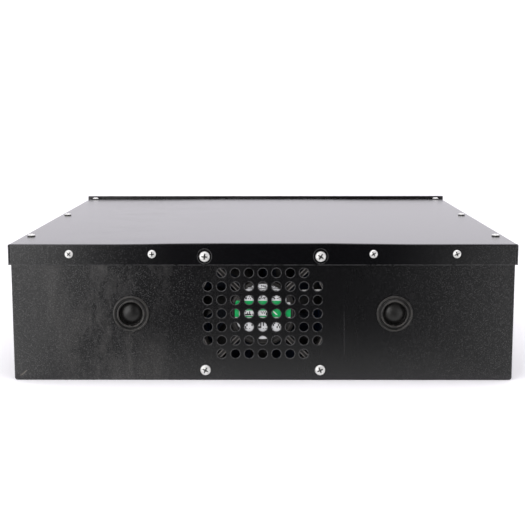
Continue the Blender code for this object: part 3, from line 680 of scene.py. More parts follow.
def top_cover(finish):
    """Lid folded from one sheet: bowed top, rear flange and side flanges with a notch between them."""
    flat_x, flat_y = LID_HIGH.x - LID_BEND, LID_HIGH.y - LID_BEND
    front, rear = LID_LOW.y, LID_HIGH.y
    arc = LID_BEND * QUARTER
    reach = LID_HIGH.z - LID_LOW.z - LID_BEND
    far_x, far_y = flat_x + arc + reach, flat_y + arc + reach
    bends = [arc * k / 4 for k in range(5)]
    slit, chamfer = bends[1], 0.0010
    notch = flat_y - 0.0004  # inner end of the slit between the flanges
    end_x = flat_x - 0.0004  # end of the rear flange
    down = ((LID_BEND, -QUARTER), (reach + 1, 0))

    def place(u, v, depth):
        if abs(u) > flat_x + 1e-6:
            x, z = follow(abs(u), ((flat_x, 0), *down), (0, LID_HIGH.z), depth)
            return Vector((math.copysign(x, u), v, z))
        y, z = follow(v - front, ((flat_y - front, 0), *down), (front, LID_HIGH.z), depth)
        along = 0.45 + 0.55 * clamped((y - front) / (rear - front))
        rise = clamped((0.140 - abs(u)) / 0.085)
        crown = CROWN * along * rise * rise * (3 - 2 * rise)
        return Vector((u, y, z + crown * clamped((z - LID_LOW.z) / reach)))

    half = [(x, front) for x in steps_between(0, flat_x, STEP)[1:]]
    half += [(flat_x + b, front) for b in bends[1:]] + [(far_x, front)]
    half += fillet([(far_x, 0), (far_x, rear, 0.0008), (flat_x + arc, rear)])[1:]
    half += [(flat_x + bends[3], rear), (flat_x + slit + chamfer, rear)]
    half += [(flat_x + bends[2], rear - chamfer * 0.55), (flat_x + slit, rear - chamfer)]
    half += [(flat_x + slit, notch), (flat_x, notch)] + [(end_x, flat_y + b) for b in bends]
    half += fillet([(end_x, flat_y + arc), (end_x, far_y, 0.0010), (0, far_y)])[1:-1]
    half += [(x, far_y) for x in reversed(steps_between(0, flat_x - 0.002, STEP)[1:])]
    outline = [(0, front), *half, (0, far_y)] + [(-x, y) for x, y in reversed(half)]
    holes = [ring(p.x, p.y, SMALL_SCREW[2] + GAP, 24) for p in map(middle_of, TOP_SCREWS)]
    level = flat_y + arc + LID_HIGH.z - LID_BEND  # where the flat flange crosses z = 0
    for names, radius, count in ((REAR_SCREWS, SMALL_SCREW[2] + GAP, 24), (FAN_SCREWS[:2], 0.0063, 48)):
        holes += [ring(p.x, level - p.z, radius, count) for p in map(middle_of, names)]
    inner_x = steps_between(-flat_x, flat_x, STEP)[1:-1]
    lines = [[(x, flat_y + b) for x in (-end_x, *inner_x, end_x)] for b in bends]
    tips = (notch, notch, rear - chamfer * 0.55, rear, rear)
    for side in (-1, 1):
        lines += [[(side * (flat_x + b), y) for y in (front, tip)] for b, tip in zip(bends, tips)]
    spots = [
        (x, y) for x in inner_x for y in steps_between(front + 0.012, flat_y - 0.012, STEP)
        if not any(near_hole((x, y), hole, 0.003) for hole in holes)
    ]
    lid = sheet("top_cover_folded", outline, holes, SHEET, place, lines, spots)
    show(lid, finish, "powder_coat", "top_cover")


def base_tray(finish):
    """Floor, side walls and inward flanges, folded from one sheet."""
    front, rear = TRAY_LOW.y, TRAY_HIGH.y
    arc, bend = TRAY_BEND * QUARTER, (TRAY_BEND, QUARTER)
    floor_half, wall = TRAY_HIGH.x - TRAY_BEND, TRAY_HIGH.z - 2 * TRAY_BEND
    last = TRAY_FLANGE + SHEET - TRAY_BEND
    fold = ((floor_half, 0), bend, (wall, 0), bend, (last + 1, 0))
    bends = [start + arc * k / 5 for start in (floor_half, floor_half + arc + wall) for k in range(6)]
    flange = floor_half + 2 * arc + wall

    def place(u, v, depth):
        x, z = follow(abs(u), fold, (0, 0), -depth)
        return Vector((math.copysign(x, u), v, z))

    half = bends + [flange + last]
    across = [-u for u in reversed(half)] + [0.0] + half
    outline = [(u, front) for u in across] + [(u, rear) for u in reversed(across)]
    holes = [
        ring(math.copysign(flange + floor_half - abs(p.x), p.x), p.y, SMALL_SCREW[2] + GAP, 20)
        for p in map(middle_of, TOP_SCREWS)
    ]
    lines = [[(u, front), (u, rear)] for u in across[1:-1]]
    tray = sheet("base_tray_folded", outline, holes, SHEET, place, lines)
    show(tray, finish, "powder_coat", "base_tray")


# ---------------------------------------------------------------- fasteners

def screw_head(name, sizes):
    """A pan-head screw: crowned head, tapered cross recess, ridged shank; its axis is +Z."""
    head, height, shank, length = sizes
    profile = [
        (0, height), (0.42 * head, 0.97 * height, 0.3 * head), (0.86 * head, 0.62 * height, 0.28 * head),
        (head, 0.24 * height, 0.12 * head), (head, 0.02 * height), (0.96 * head, 0), (shank, 0),
    ]
    pitch = shank * 0.36
    for turn in range(int(length / pitch)):
        profile += [(shank, -pitch * (turn + 0.15)), (shank * 0.80, -pitch * (turn + 0.6))]
    profile += [(shank * 0.7, -length), (0, -length)]
    screw = turned(name, profile, Matrix.Identity(4), rounding=5)
    top, long, wide = 1.02 * height, 0.70 * head, 0.125 * head
    for angle in (0.0, QUARTER):
        wing = bmesh.new()
        rims = ((top, long, wide), (0.30 * height, long * 0.55, wide * 0.75))
        bridge(wing, [
            [wing.verts.new((sx * x, sy * y, z)) for sx, sy in ((-1, -1), (1, -1), (1, 1), (-1, 1))]
            for z, x, y in rims
        ], capped=True)
        cutter = new_object("wing", wing)
        cutter.rotation_euler = (0, 0, angle)
        boolean(screw, cutter)
    pit = [(0, top), (0.26 * head, top), (0.10 * head, 0.16 * height), (0, 0.10 * height)]
    boolean(screw, turned("pit", pit, Matrix.Identity(4), 24))
    mesh = crease(screw, 38).data
    # painted shade value: full in the cross recess, 0.85 on the head's lower side under its rim
    painted_shade = mesh.attributes.new("painted_shade", "FLOAT", "POINT")
    for vertex, value in zip(mesh.vertices, painted_shade.data):
        distance = math.hypot(vertex.co.x, vertex.co.y) / head
        surface = height * (1 - 0.06 * distance - 0.42 * distance ** 2)
        recess = distance < 0.74 and 0 < vertex.co.z < surface - 0.10 * height
        under = distance > 0.90 and vertex.co.z < 0.36 * height
        value.value = 1.0 if recess else 0.85 * under
    bpy.data.objects.remove(screw, do_unlink=True)
    return mesh


def screws(finish):
    """Every screw, each turned by a different amount, and those on top by little."""
    small, large = screw_head("small_screw", SMALL_SCREW), screw_head("large_screw", FAN_SCREW)
    for names, mesh, height, direction in (
        (TOP_SCREWS, small, SMALL_SCREW[1], UP), (REAR_SCREWS, small, SMALL_SCREW[1], REAR),
        (FAN_SCREWS, large, FAN_SCREW[1], REAR),
    ):
        axis = 2 if direction is UP else 1
        for node in names:
            place = middle_of(node)
            place[axis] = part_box(node)[1][axis] - height
            turn = dice.uniform(0, QUARTER)
            if direction is UP:
                turn = (turn - QUARTER / 2) * 0.3
            screw = linked(node + "_driven", mesh)
            screw.matrix_world = facing(place, direction, turn)
            show(screw, finish, "zinc_steel", node)


def grommets(finish):
    """Blind rubber grommets: rolled outer lip, raised inner ring and a domed membrane."""
    groove, gap, lip = 13.7, GAP / MM, -(SHEET + GAP) / MM
    profile = mm(
        (0, 1.3), (4, 1, 3), (8, -0.6, 3), (10.4, -2.6, 0.8), (10.8, 1.2, 1), (11.1, 3.1, 0.6),
        (12.2, 3.3, 0.9), (13.1, 2, 0.9), (13.8, 1, 0.8), (15.1, 2.1, 1.4), (16.4, 1.6, 1),
        (16.6, 0.4, 0.4), (16, gap), (groove, gap), (groove, lip), (15.5, lip, 0.3), (14.8, -3.4, 0.8),
        (11.8, -3.6, 0.4), (10.5, -3.6, 0.4), (0, -2.2),
    )
    nub = mm((0, 1.1), (0.5, 0.95), (0.8, 0.4), (0.9, 0), (0, 0))
    for node in GROMMETS:
        middle = middle_of(node)
        middle.y = REAR_HIGH.y
        nub_place = middle + Vector((0.0012, 0.0008, -0.0112))
        piece = merged(
            node + "_moulded_rubber", turned("grommet", profile, facing(middle, REAR), 72, rounding=5),
            turned("nub", nub, facing(nub_place, REAR), 16),
        )
        piece.data.shade_smooth()
        show(piece, finish, "grommet_rubber", node)


# ---------------------------------------------------------------- fan

def ridged_strut(bm, angle, y_rear, depth):
    """Adds a strut from the hub outwards, with a groove between two ridges along it."""
    edge = [(-0.0024, -depth), (-0.0024, -0.0006), (-0.0020, 0.0), (-0.0013, 0.0), (-0.0009, -0.0009)]
    section = edge + [(-s, d) for s, d in reversed(edge)]
    out = Vector((math.cos(angle), 0, math.sin(angle)))
    side = Vector((-out.z, 0, out.x))
    rubbed_and_lit = rubbed_and_lit_layer(bm)
    rows = []
    for distance in (0.0285, 0.0640):
        middle = Vector((0, y_rear, FAN_Z)) + out * distance
        rows.append([bm.verts.new(middle + side * s + REAR * d) for s, d in section])
        # faces toward the grille are marked so the frame's pale tint paints them lighter, a painted highlight
        for vert, (_, d) in zip(rows[-1], section):
            vert[rubbed_and_lit] = float(d >= 0.0)
    bridge(bm, rows, capped=True)


def fan_frame(finish):
    """Housing: two square flanges round a duct, ridged struts and the hub plate with its rim."""
    rear, front = FAN_HIGH.y, FAN_LOW.y
    half = (FAN_HIGH.x - FAN_LOW.x) / 2
    bore, wall, flange, corner = 0.0585, 0.0015, 0.0035, 0.0525
    outline = rectangle(-half, FAN_Z - half, half, FAN_Z + half, 0.005)
    holes = [ring(0, FAN_Z, bore, 96)]
    holes += [ring(x, FAN_Z + z, 0.0026, 24) for x in (-corner, corner) for z in (-corner, corner)]
    parts = [
        sheet("flange", outline, holes, flange, upright(face, inward), edge=0.0005)
        for face, inward in ((rear, -1), (front, 1))
    ]
    lead_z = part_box("fan_lead")[1].z - LEAD_RADIUS
    boolean(parts[0], peg(-0.060, lead_z, 0.015, 0.0018, rear - flange - 0.0010, rear + 0.001))
    outer, far = bore + wall, rear - front - flange
    duct = [(outer, flange), (outer, far), (bore, far), (bore, flange)]
    parts.append(turned("duct", duct, facing((0, front, FAN_Z), REAR), 96, closed=True, sharp=30))
    plate = mm(
        (0, -1), (26.8, -1, 0.2), (27.1, -0.2, 0.2), (28.2, -0.2, 0.4), (30.2, -1.2, 1.2), (30.5, -5),
        (29, -5.2), (0, -5.2),
    )
    parts.append(turned("plate", plate, facing((0, rear, FAN_Z), REAR), 96, sharp=40))
    bm = bmesh.new()
    for quarter in range(4):
        ridged_strut(bm, (quarter + 0.5) * QUARTER, rear - 0.0004, 0.0044)
    parts.append(soften(new_object("struts", bm), 0.00025))
    show(merged("fan_frame_moulded", *parts), finish, "fan_plastic", "fan_frame")


def fan_impeller(finish):
    """Cup and seven curved blades that thin towards their tips, about the fan's own axis."""
    half, blades, across, along = 9, 7, 8, 14
    inner, tip = 0.0280, 0.0566
    cup = mm(
        (0, half), (27, half, 1.2), (29.2, half - 1.6, 1), (29.5, -half, 0.2), (27.8, -half, 0.2),
        (27.4, half - 3, 1), (0, half - 3),
    )
    centre = facing((0, 0, 0), REAR)
    bm = bmesh.new()
    there = [(1, j) for j in range(along)] + [(-1, j) for j in reversed(range(along))]
    for number in range(blades):
        rows = []
        for share in (i / (across - 1) for i in range(across)):
            radius = inner + share * (tip - inner)
            tilt, chord = math.radians(52 - 20 * share), 0.020 + 0.012 * share
            rows.append([])
            for side, j in there:
                place = j / (along - 1) - 0.5
                bow = 1 - 4 * place * place
                camber, thick = 0.0022 * bow, 0.0007 * math.sqrt(max(0.0, bow)) + 0.00008
                angle = (place * chord * math.cos(tilt) - camber) / radius
                angle += number * 2 * math.pi / blades + 0.35 * share
                height = place * chord * math.sin(tilt) * 0.9 + camber * 0.5 + side * thick
                spot = Vector((radius * math.cos(angle), radius * math.sin(angle), height))
                rows[-1].append(bm.verts.new(centre @ spot))
        bridge(bm, rows, capped=True)
    parts = turned("cup", cup, centre, 72, sharp=40), new_object("blades", bm)
    piece = crease(merged("fan_impeller_moulded", *parts), 45)
    piece.location = (0, middle_of("fan_impeller").y, FAN_Z)
    show(piece, finish, "fan_plastic", "fan_impeller", body="fan_rotor")


def fan_label(finish):
    """Printed disc with flat left and right sides."""
    low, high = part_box("fan_label")
    radius, half = (high.z - low.z) / 2, (high.x - low.x) / 2
    limit = math.acos(half / radius)
    angles = [limit + (math.pi - 2 * limit) * i / 40 for i in range(41)]
    upper = [Vector((radius * math.cos(a), radius * math.sin(a))) for a in angles]
    outline = upper + [-p for p in upper]
    label = sheet("fan_label_printed", outline, [], 0.00028, upright(0.00014, -1), edge=0.00006)
    label.location = middle_of("fan_label")
    show(label, finish, "label", "fan_label")


def print_layout():
    """Label print: white ground toned grey as painted shade, a green band, a pale panel in it toned the same
    way, and rows of small dark marks.
    """
    # the white is set grey: painted shade for the label's place behind the grille
    made = Finish("label_print", (0.54, 0.55, 0.545), 0.45, Specular_IOR_Level=0.12)
    right, up = made.times("X", -1000.0), made.times("Z", 1000.0)
    slash = made.maths("COMPARE", made.maths("ADD", right, up), 9.4, 0.75)
    # pale panels take the same painted shade as the white ground
    pale, dark = (0.54, 0.55, 0.54), (0.018, 0.017, 0.017)

    def marks(columns, rows, share, seed):
        """Square cells, some of them dark, in a grid of so many millimetres."""
        cell = {0: made.maths("FLOOR", made.maths("DIVIDE", right, columns)), 2: seed}
        cell[1] = made.maths("FLOOR", made.maths("DIVIDE", up, rows))
        place = made.add("CombineXYZ", cell).outputs[0]
        chance = made.add("TexWhiteNoise", {"Vector": place}, noise_dimensions="3D").outputs["Value"]
        return made.maths("LESS_THAN", chance, share)

    for left, bottom, width, height, colour, pattern in (
        (-26, -5.6, 52, 15.2, (0.0004, 0.290, 0.072), None), (17.2, 6.0, 10, 5, pale, None),
        (-21.6, -4.5, 27.4, 4.9, (0.53, 0.54, 0.53), None),
        (9.5, -3.6, 4.2, 3.6, (0.54, 0.56, 0.54), slash),
        (-21, -4.0, 26.4, 3.8, dark, (0.95, 1.27, 0.42, 1.0)),
        (-18, 10.8, 36, 3.4, dark, (0.9, 0.85, 0.42, 2.0)),
        (-17, -16.5, 34, 6.0, dark, (1.15, 2.0, 0.36, 3.0)), (-26, 9.6, 5.8, 7.4, dark, None),
        (21.5, 8.0, 6.0, 9.7, dark, None), (20.5, -17.0, 6.0, 9.0, dark, None),
        (-7.5, 24.9, 15.0, 1.0, dark, None), (-16, 20.2, 32, 0.9, dark, 0.85),
        (-19, 21.6, 38, 2.6, dark, (0.8, 0.65, 0.55, 4.0)), (-22, 17.0, 44, 2.4, dark, (1.3, 0.8, 0.30, 5.0)),
    ):
        mask = made.maths("COMPARE", right, left + width / 2, width / 2)
        mask = made.times(mask, made.maths("COMPARE", up, bottom + height / 2, height / 2))
        if pattern:
            mask = made.times(mask, marks(*pattern) if isinstance(pattern, tuple) else pattern)
        made.tint(mask, colour)
    soil = made.noise(160, detail=5, rough=0.6, seed=2.0)
    made.tint(made.span(soil, 0.5, 0.8), (0.42, 0.40, 0.36), 0.18)
    made.rougher(soil, 0.15)
    made.bump(made.noise(1800, detail=3, seed=4.0), 0.00002, 0.5)
    return made.done()


def smooth_route(points, count):
    """Points at even steps along a smooth curve through the given ones."""
    ends = [points[0] * 2 - points[1]] + points + [points[-1] * 2 - points[-2]]
    fine = []
    for before, start, end, after in zip(ends, ends[1:], ends[2:], ends[3:]):
        handles = start + (end - before) / 6, end - (after - start) / 6
        fine += geometry.interpolate_bezier(start, *handles, end, 21)[:-1]
    fine.append(points[-1])
    lengths = [0.0]
    for first, second in zip(fine, fine[1:]):
        lengths.append(lengths[-1] + (second - first).length)
    route = []
    for number in range(count):
        wanted = lengths[-1] * number / (count - 1)
        index = min(sum(length <= wanted for length in lengths), len(fine) - 1)
        share = (wanted - lengths[index - 1]) / (lengths[index] - lengths[index - 1])
        route.append(fine[index - 1].lerp(fine[index], share))
    return route


def fan_lead(finish):
    """The fan's sleeved lead, from the hub through the frame and forward along the side wall."""
    low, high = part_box("fan_lead")
    side, level, y = low.x + LEAD_RADIUS, high.z - LEAD_RADIUS, FAN_HIGH.y - 0.00205
    points = [Vector((-0.0275, y, level - 0.0010))] + [Vector((*place, level)) for place in (
        (-0.045, y), (-0.064, y), (-0.090, y - 0.002), (-0.150, 0.218), (-0.195, 0.212), (side, 0.185),
        (side, 0.100), (side, 0.0), (side, -0.090), (-0.205, -0.140), (-0.175, -0.164), (-0.143, -0.168),
    )]
    lead = tube("fan_lead_sleeved", smooth_route(points, 160), LEAD_RADIUS, 20)
    show(lead, finish, "lead_sleeve", "fan_lead")


# ---------------------------------------------------------------- front

def front_panel(finish):
    """Front plate with its openings."""
    outline = rectangle(PANEL_LOW.x, PANEL_LOW.z, PANEL_HIGH.x, PANEL_HIGH.z, 0.0014)
    holes = []
    for node, radius, height in (
        ("breaker_body", 0.0005, 0.0456), ("comm_ports", 0.0005, 0), ("light_bar", 0.0006, 0),
    ):
        low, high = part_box(node)
        middle = (low + high) / 2
        x, z = (high.x - low.x) / 2 + GAP, (height or high.z - low.z + 2 * GAP) / 2
        holes.append(rectangle(middle.x - x, middle.z - z, middle.x + x, middle.z + z, radius))
    holes += rings_at(["power_button"], 0.0081, 48) + rings_at(["reset_button"], 0.0029, 32)
    holes += rings_at(["terminal_negative", "terminal_positive"], 0.0123, 64)
    panel = sheet("front_panel_cut", outline, holes, PANEL_SHEET, upright(PANEL_LOW.y, 1), edge=0.00035)
    show(panel, finish, "powder_coat", "front_panel")


def handles(finish):
    """Round bar handles with a collar at each foot."""
    bar, bend = 0.0045, 0.0120
    profile = mm((4.6, 0), (7.2, 0), (7.4, 0.4, 0.3), (7.2, 2.2, 0.6), (5.6, 2.6, 0.4), (4.6, 2.2))
    for node in ("handle_left", "handle_right"):
        low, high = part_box(node)
        x, _, middle = (low + high) / 2
        foot, half = high.y, (high.z - low.z) / 2 - bar
        route = [Vector((x, foot, middle - half))]
        for corner in (0, 1):
            for angle in (QUARTER * (step / 16 + corner) for step in range(17)):
                y = low.y + bar + bend - bend * math.sin(angle)
                z = middle + (2 * corner - 1) * (half - bend) - bend * math.cos(angle)
                route.append(Vector((x, y, z)))
        route.append(Vector((x, foot, middle + half)))
        parts = [
            turned("collar", profile, facing((x, foot, z), FRONT), closed=True, sharp=50)
            for z in (middle - half, middle + half)
        ]
        show(merged(node + "_bent", tube("bar", route, bar, 36), *parts), finish, "handle_metal", node)


def breaker(body_finish, lever_finish, marks):
    """Two-pole breaker: stepped body, a seam between its poles, windows, and the toggle lever."""
    low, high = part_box("breaker_body")
    x, _, z = (low + high) / 2
    back, face = PANEL_HIGH.y + 3 * GAP, low.y
    half_x, nose, lever = (high.x - low.x) / 2, 0.0225, 0.0130
    body = block("breaker_moulded", (low.x, back, low.z), high, 0.0006)
    boolean(body, peg(x, z, half_x, nose, face, back + 0.004, 0.0008), "UNION")
    boolean(body, peg(x, z, lever + 2 * GAP, 0.010, face - 0.016, face + 0.016, 0.0035, 4))
    boolean(body, peg(x, z, 0.0003, (high.z - low.z) / 2 + 0.001, face - 0.004, face + 0.0006))
    strips = []
    for side, end in ((-1, -1), (-1, 1), (1, -1), (1, 1)):
        place = x + side * 0.009, z + end * 0.0165
        boolean(body, peg(*place, 0.0045, 0.0022, face - 0.004, face + 0.0007, 0.0006))
        strips.append(peg(*place, 0.0041, 0.0018, face + 0.0001, face + 0.0007, 0.0003))
    show(soften(crease(body, 40), 0.00018), body_finish, "breaker_plastic", "breaker_body")
    show(merged("breaker_windows", *strips), marks, "breaker_plastic")
    half, radius = lever - 0.0001, 0.0050
    drum = [
        (0, half), (0.0046, half), (radius, half - 0.0004, 0.0003), (radius, -half + 0.0004, 0.0003),
        (0.0046, -half), (0, -half),
    ]
    paddle = block("paddle", (-half, -0.0220, -0.0025), (half, -0.0010, 0.0025), 0.0011, 4)
    for y in (-0.0205 + step * 0.0022 for step in range(4)):
        for side in (-0.0034, 0.0034):
            boolean(paddle, peg(0, side, half - 0.002, 0.0012, y - 0.0005, y + 0.0005, 0.0003, 2))
    bake(crease(paddle, 40)).data.transform(Matrix.Rotation(math.radians(30), 4, "X"))
    piece = merged("breaker_lever_moulded", turned("drum", drum, facing((0, 0, 0), RIGHT), sharp=40), paddle)
    piece.location = (x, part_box("breaker_lever")[1].y - radius, z)
    show(piece, lever_finish, "lever_plastic", "breaker_lever", body="breaker_toggle_lever")


def buttons(steel, plastic, ring_finish):
    """Power button in its threaded bezel with a light ring, and the small reset button."""
    power, reset = middle_of("power_button"), middle_of("reset_button")
    power.y = reset.y = PANEL_LOW.y
    matrix, centre = facing(power, FRONT), facing((0, 0, 0), FRONT)
    gap, behind = GAP / MM, -(PANEL_SHEET + GAP) / MM
    bezel = mm(
        (0, -10), (6.4, -10), (6.4, 1.8, 0.3), (6.8, 2.2, 0.3), (9, 2.2, 0.6), (9.9, 1.4, 0.6),
        (10, gap, 0.1), (7.8, gap),
    )
    for turn in range(14):
        bezel += mm((7.8, -2.2 - turn * 1.1), (7.4, -2.7 - turn * 1.1))
    bezel += mm((7.6, -18), (0, -18))
    bezel = turned("power_bezel_turned", bezel, matrix, 72, sharp=40)
    show(bezel, steel, "button_steel", "power_button_bezel")
    cap = mm((0, 3.1), (3, 3.1, 2), (5.1, 3.4, 0.4), (5.8, 3, 0.5), (5.9, -6), (0, -6))
    button = turned("power_cap_turned", cap, centre, 64, sharp=40)
    button.location = power
    show(button, steel, "button_steel", "power_button", body="power_button_cap")
    halo = mm((7, 1.9), (7.1, 2.4, 0.1), (8.5, 2.4, 0.1), (8.6, 1.9))
    show(turned("power_light_ring", halo, matrix, 72, True, 40), ring_finish, "light_window")
    low_cap = mm(
        (0, 1), (1.2, 1, 1), (2.1, 1.2, 0.3), (2.5, 0.8, 0.3), (2.5, behind), (4, behind),
        (4, behind - 1.2), (2, behind - 1.2), (2, behind - 5), (0, behind - 5),
    )
    small = turned("reset_cap_moulded", low_cap, centre, 40, sharp=40)
    small.location = reset
    show(small, plastic, "reset_plastic", "reset_button", body="reset_button_cap")


def light_bar(finish):
    """Dark window with six domed lenses."""
    low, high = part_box("light_bar")
    x, _, z = (low + high) / 2
    front = low.y + 0.0006
    dome = mm((0, 0.6), (1.1, 0.52, 0.8), (1.7, 0.2, 0.3), (1.8, -0.8), (0, -0.8))
    parts = [
        turned("lens", dome, facing((x + (number - 2.5) * LENS_PITCH, front, z), FRONT), 32, sharp=50)
        for number in range(6)
    ]
    bar = block("bar", (low.x, front, low.z), high, 0.0005)
    show(merged("light_bar_lenses", bar, *parts), finish, "light_window", "light_bar")


def light_paint():
    """Smoked window with green, amber and red lenses."""
    middle = middle_of("light_bar")
    made = Finish("light_bar_smoked", (0.030, 0.032, 0.034), 0.18, Coat_Weight=0.5, Coat_Roughness=0.1)
    across = made.maths("SUBTRACT", "X", middle.x - 2.5 * LENS_PITCH)
    column = made.maths("ROUND", made.maths("DIVIDE", across, LENS_PITCH))
    off_x = made.maths("SUBTRACT", across, made.times(column, LENS_PITCH))
    off_z = made.maths("SUBTRACT", "Z", middle.z)
    squares = made.maths("ADD", made.maths("POWER", off_x, 2.0), made.maths("POWER", off_z, 2.0))
    lens = made.span(made.maths("SQRT", squares), 0.00185, 0.00175)
    made.tint(lens, (0.10, 0.42, 0.16), 0.9)
    for number, colour in ((1.0, (0.60, 0.05, 0.04)), (0.0, (0.62, 0.34, 0.04))):
        made.tint(made.times(lens, made.maths("COMPARE", column, number, 0.5)), colour, 0.95)
    haze = made.noise(300, detail=4)
    made.rougher(haze, 0.10)
    made.bump(haze, 0.00002, 0.3)
    return made.done()


def comm_ports(finish, contact):
    """Three shielded sockets with latch notches and rows of contacts."""
    low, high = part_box("comm_ports")
    middle = (low + high) / 2
    face, z = low.y, middle.z
    shell = block("comm_ports_moulded", low, high, 0.0004)
    wires = []
    for x in (middle.x + (number - 1) * 0.016 for number in range(3)):
        boolean(shell, peg(x, z + 0.0010, 0.006, 0.004, face - 0.013, face + 0.013, 0.0003, 2))
        boolean(shell, peg(x, z - 0.0040, 0.003, 0.002, face - 0.013, face + 0.013, 0.0002, 2))
        for pin in range(8):
            route = [
                Vector((x + (pin - 3.5) * 0.00127, face + depth, z + up)) for depth, up in
                ((0.0012, 0.0048), (0.0025, 0.0043), (0.0070, 0.0024), (0.0085, 0.0020), (0.0130, 0.0020))
            ]
            wires.append(tube("wire", route, 0.00022, 8))
    show(soften(crease(shell, 40), 0.0002), finish, "port_plastic", "comm_ports")
    show(merged("comm_port_contacts", *wires), contact, "terminal_brass")


def terminals(negative, positive, brass):
    """Panel insulators with a ribbed skirt, and studs with a seat and a thread."""
    gap = GAP / MM
    shell = mm(
        (6.6, 6, 0.2), (11, 6, 0.6), (12, 5, 0.6), (12, 4.4, 0.2), (11.7, 4, 0.2), (12, 3.4, 0.3),
        (12.1, 3, 0.2), (17.2, 3, 1), (18, 2, 0.8), (18, gap, 0.1), (12, gap), (12, -16, 0.3), (6.6, -16),
    )
    post = mm((0, 26), (3.1, 26), (3.7, 25.4))
    for turn in range(13):
        post += mm((4, 24.8 - turn * 1.25), (3.6, 24.18 - turn * 1.25))
    post += mm((3.8, 8.6), (9, 8.5), (9.5, 8), (9.5, 6.7), (9.1, 6.3))
    post += mm((6.3, 6.3), (6.3, -24), (0, -24))
    for name, finish in (("negative", negative), ("positive", positive)):
        place = middle_of("stud_" + name)
        place.y = PANEL_LOW.y
        matrix = facing(place, FRONT)
        insulator = turned("terminal_" + name + "_moulded", shell, matrix, 72, True, 40)
        show(insulator, finish, name + "_insulator", "terminal_" + name)
        stud = turned("stud_" + name + "_turned", post, matrix, 72, sharp=25)
        show(stud, brass, "terminal_brass", "stud_" + name)


# ---------------------------------------------------------------- inside

def inner_finishes():
    """Materials of what the case hides, on the CAD nodes themselves."""
    board = Finish("circuit_board_masked", (0.010, 0.095, 0.040), 0.32)
    tracks = board.noise(420, (1, 1, 0.2), 1, 0.3, 2.0)
    board.tint(board.span(tracks, 0.52, 0.56), (0.020, 0.170, 0.075), 0.8)
    board.tint(board.span("Y", -0.1612, -0.1614), (0.020, 0.020, 0.022), 0.95)
    board.bump(tracks, 0.00003, 0.4)
    finishes = {
        # cell wrap: dark blue toned near black, partly painted shade for the dark inside seen through the
        # grille
        "cell_": moulded("cell_wrap_film", (0.004, 0.012, 0.035), 0.35, 5.0, 0.00001, (0.008, 0.024, 0.060)),
        "end_plate": metal("end_plate_brushed", (0.56, 0.57, 0.58), 0.32, 2.0),
        "bms_heatsink": metal("heatsink_extruded", (0.50, 0.51, 0.52), 0.35, 3.0, (1, 1, 0.02)),
        "link_tray": moulded("link_tray_glass_filled", (0.55, 0.17, 0.03), 0.45, 7.0),
        "bms_board": board.done(),
    }
    for name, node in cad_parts.items():
        for start, finish in finishes.items():
            if name.startswith(start):
                node.data.materials.clear()
                node.data.materials.append(finish)


# ---------------------------------------------------------------- studio

def plane(name, corners, finish):
    """A flat card that belongs to the studio."""
    bm = bmesh.new()
    bm.faces.new([bm.verts.new(corner) for corner in corners])
    card = new_object(name, bm)
    card.data.materials.append(finish)
    return card


def reflected_cards():
    """Cards that only show in reflections: dark in the middle, paler to the sides and near the battery."""
    for number, (corners, near, sides, glow) in enumerate(REFLECTED_CARDS):
        tone = Finish(f"studio_card_tone_{number}", (0.0, 0.0, 0.0), 1.0, Specular_IOR_Level=0.0)
        spread = tone.maths("DIVIDE", "X", tone.maths("ADD", "Y", 0.76))
        left = tone.span(spread, *sides, 0.0, glow[0], "SMOOTHSTEP")
        right = tone.span(spread, -sides[0], -sides[1], 0.0, glow[1], "SMOOTHSTEP")
        close = tone.span("Y", *near, 0.0, "SMOOTHSTEP")
        aside = tone.times(tone.maths("ADD", left, right), tone.span("Z", 0.30, 0.90, 1.0, 0.35))
        shine = tone.maths("MAXIMUM", aside, close)
        strength = tone.maths("MULTIPLY_ADD", tone.noise(3.0, detail=2), 0.02, shine)
        tone.feed(tone.shader.inputs["Emission Strength"], strength)
        tone.shader.inputs["Emission Color"].default_value = (1, 1, 1, 1)
        card = plane(f"studio_card_{number}", corners, tone.done())
        card.visible_camera = card.visible_diffuse = card.visible_transmission = card.visible_shadow = False


def studio():
    """Pale floor, white surroundings, cards for the reflections, and soft lights at the left and above."""
    ground = Finish("studio_floor_paper", (0.96, 0.96, 0.96), 0.8)
    ground.rougher(ground.noise(9, detail=3), 0.1)
    ground.bump(ground.noise(700, detail=2), 0.00004, 0.3)
    reach, level = 8.0, -0.0002
    corners = [(x * reach, y * reach, level) for x, y in ((-1, -1), (1, -1), (1, 1), (-1, 1))]
    plane("studio_floor", corners, ground.done())
    reflected_cards()
    world = bpy.data.worlds.new("studio")
    bpy.context.scene.world = world
    world.use_nodes = True
    back = world.node_tree.nodes["Background"]
    back.inputs["Color"].default_value = WORLD_COLOUR
    back.inputs["Strength"].default_value = WORLD_LIGHT
    for name, place, target, size, power, colour in SOFT_LIGHTS:
        data = bpy.data.lights.new(name, "AREA")
        data.shape = "RECTANGLE"
        data.size, data.size_y = size
        data.energy, data.color = power, colour
        light = linked(name, data)
        light.location = place
        light.rotation_euler = (Vector(target) - Vector(place)).to_track_quat("-Z", "Y").to_euler()
        light.visible_camera = False


def camera():
    """Camera behind the battery and slightly above it."""
    data = bpy.data.cameras.new("camera")
    data.lens, data.sensor_width = FOCAL_LENGTH, 36.0
    data.clip_start, data.clip_end = 0.05, 50.0
    made = linked("camera", data)
    made.location = CAMERA_PLACE
    made.rotation_mode = "QUATERNION"
    aim = Vector(CAMERA_AIM).to_track_quat("-Z", "Y")
    made.rotation_quaternion = aim @ Quaternion((0, 0, 1), math.radians(CAMERA_ROLL))
    bpy.context.scene.camera = made


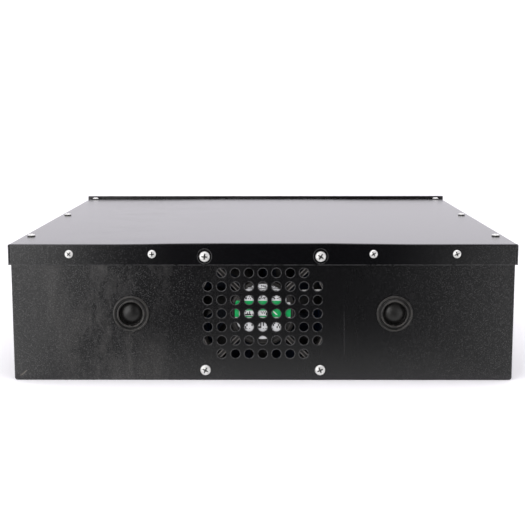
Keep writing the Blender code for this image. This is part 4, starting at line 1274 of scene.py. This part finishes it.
def build():
    """Makes every piece."""
    rear_coat = powder_coat(
        "powder_coat_dusty", 0.60, 3.0, sides=(0.02, 0.13, 0.12, -0.09, -0.22), grain=0.75, rubbed_and_lit=0.070,
    )
    scuff(rear_coat, (0.2165, 0.0090), (0.2235, 0.0035))
    lid_coat = powder_coat(
        "powder_coat_lid", 0.02, 7.0, sides=(0.08, 0.19, 0.05, -0.13, -0.24), texture=0.15,
        roughness=0.19, grain=0.66, rubbed_and_lit=0.055, fewer_glints_on_top=True,
    )
    coat = powder_coat("powder_coat_clean", 0.16, 11.0, grain=0.3).done()
    brass = metal("terminal_brass_turned", (0.74, 0.55, 0.25), 0.24, 4.0)
    rear_panel(rear_coat.done())
    top_cover(lid_coat.done())
    base_tray(coat)
    screws(zinc("zinc_plate"))
    grommets(moulded(
        "rubber_moulded", (0.0055, 0.0052, 0.0048), 0.30, 6.0, 0.00002, (0.110, 0.102, 0.090), 0.9, 0.12,
        (0.36, 0.55),
    ))
    # the frame's pale tint at 0.95 paints the struts' faces toward the grille lighter, a painted highlight
    fan_frame(moulded(
        "fan_frame_plastic", (0.0060, 0.0050, 0.0045), 0.38, 8.0, 0.00003, (0.105, 0.098, 0.090), 0.95, 0.06,
        (0.25, 0.45),
    ))
    fan_impeller(moulded(
        "impeller_plastic", (0.0024, 0.0021, 0.0020), 0.46, 9.0, 0.00003, (0.020, 0.018, 0.017),
    ))
    fan_label(print_layout())
    fan_lead(moulded("lead_sleeve_woven", (0.42, 0.42, 0.40), 0.50, 9.0, 0.0001))
    front_panel(coat)
    handles(metal("handle_anodised", (0.030, 0.030, 0.032), 0.30, 5.0, (1, 1, 0.08)))
    breaker(
        moulded("breaker_moulded_grey", (0.30, 0.31, 0.31), 0.40, 12.0),
        moulded("lever_moulded_black", (0.012, 0.012, 0.012), 0.34, 13.0),
        moulded("breaker_window_green", (0.02, 0.22, 0.08), 0.25, 14.0),
    )
    buttons(
        metal("button_brushed_steel", (0.60, 0.60, 0.61), 0.24, 6.0),
        moulded("reset_moulded", (0.020, 0.020, 0.020), 0.38, 15.0),
        moulded("light_ring_frosted", (0.45, 0.50, 0.48), 0.35, 16.0),
    )
    light_bar(light_paint())
    comm_ports(moulded("port_moulded", (0.016, 0.016, 0.017), 0.34, 17.0), brass)
    terminals(
        moulded("insulator_black", (0.012, 0.012, 0.012), 0.36, 18.0),
        moulded("insulator_red", (0.36, 0.014, 0.012), 0.36, 19.0), brass,
    )
    inner_finishes()


build()
studio()
camera()
bpy.context.scene.view_settings.view_transform = "Standard"
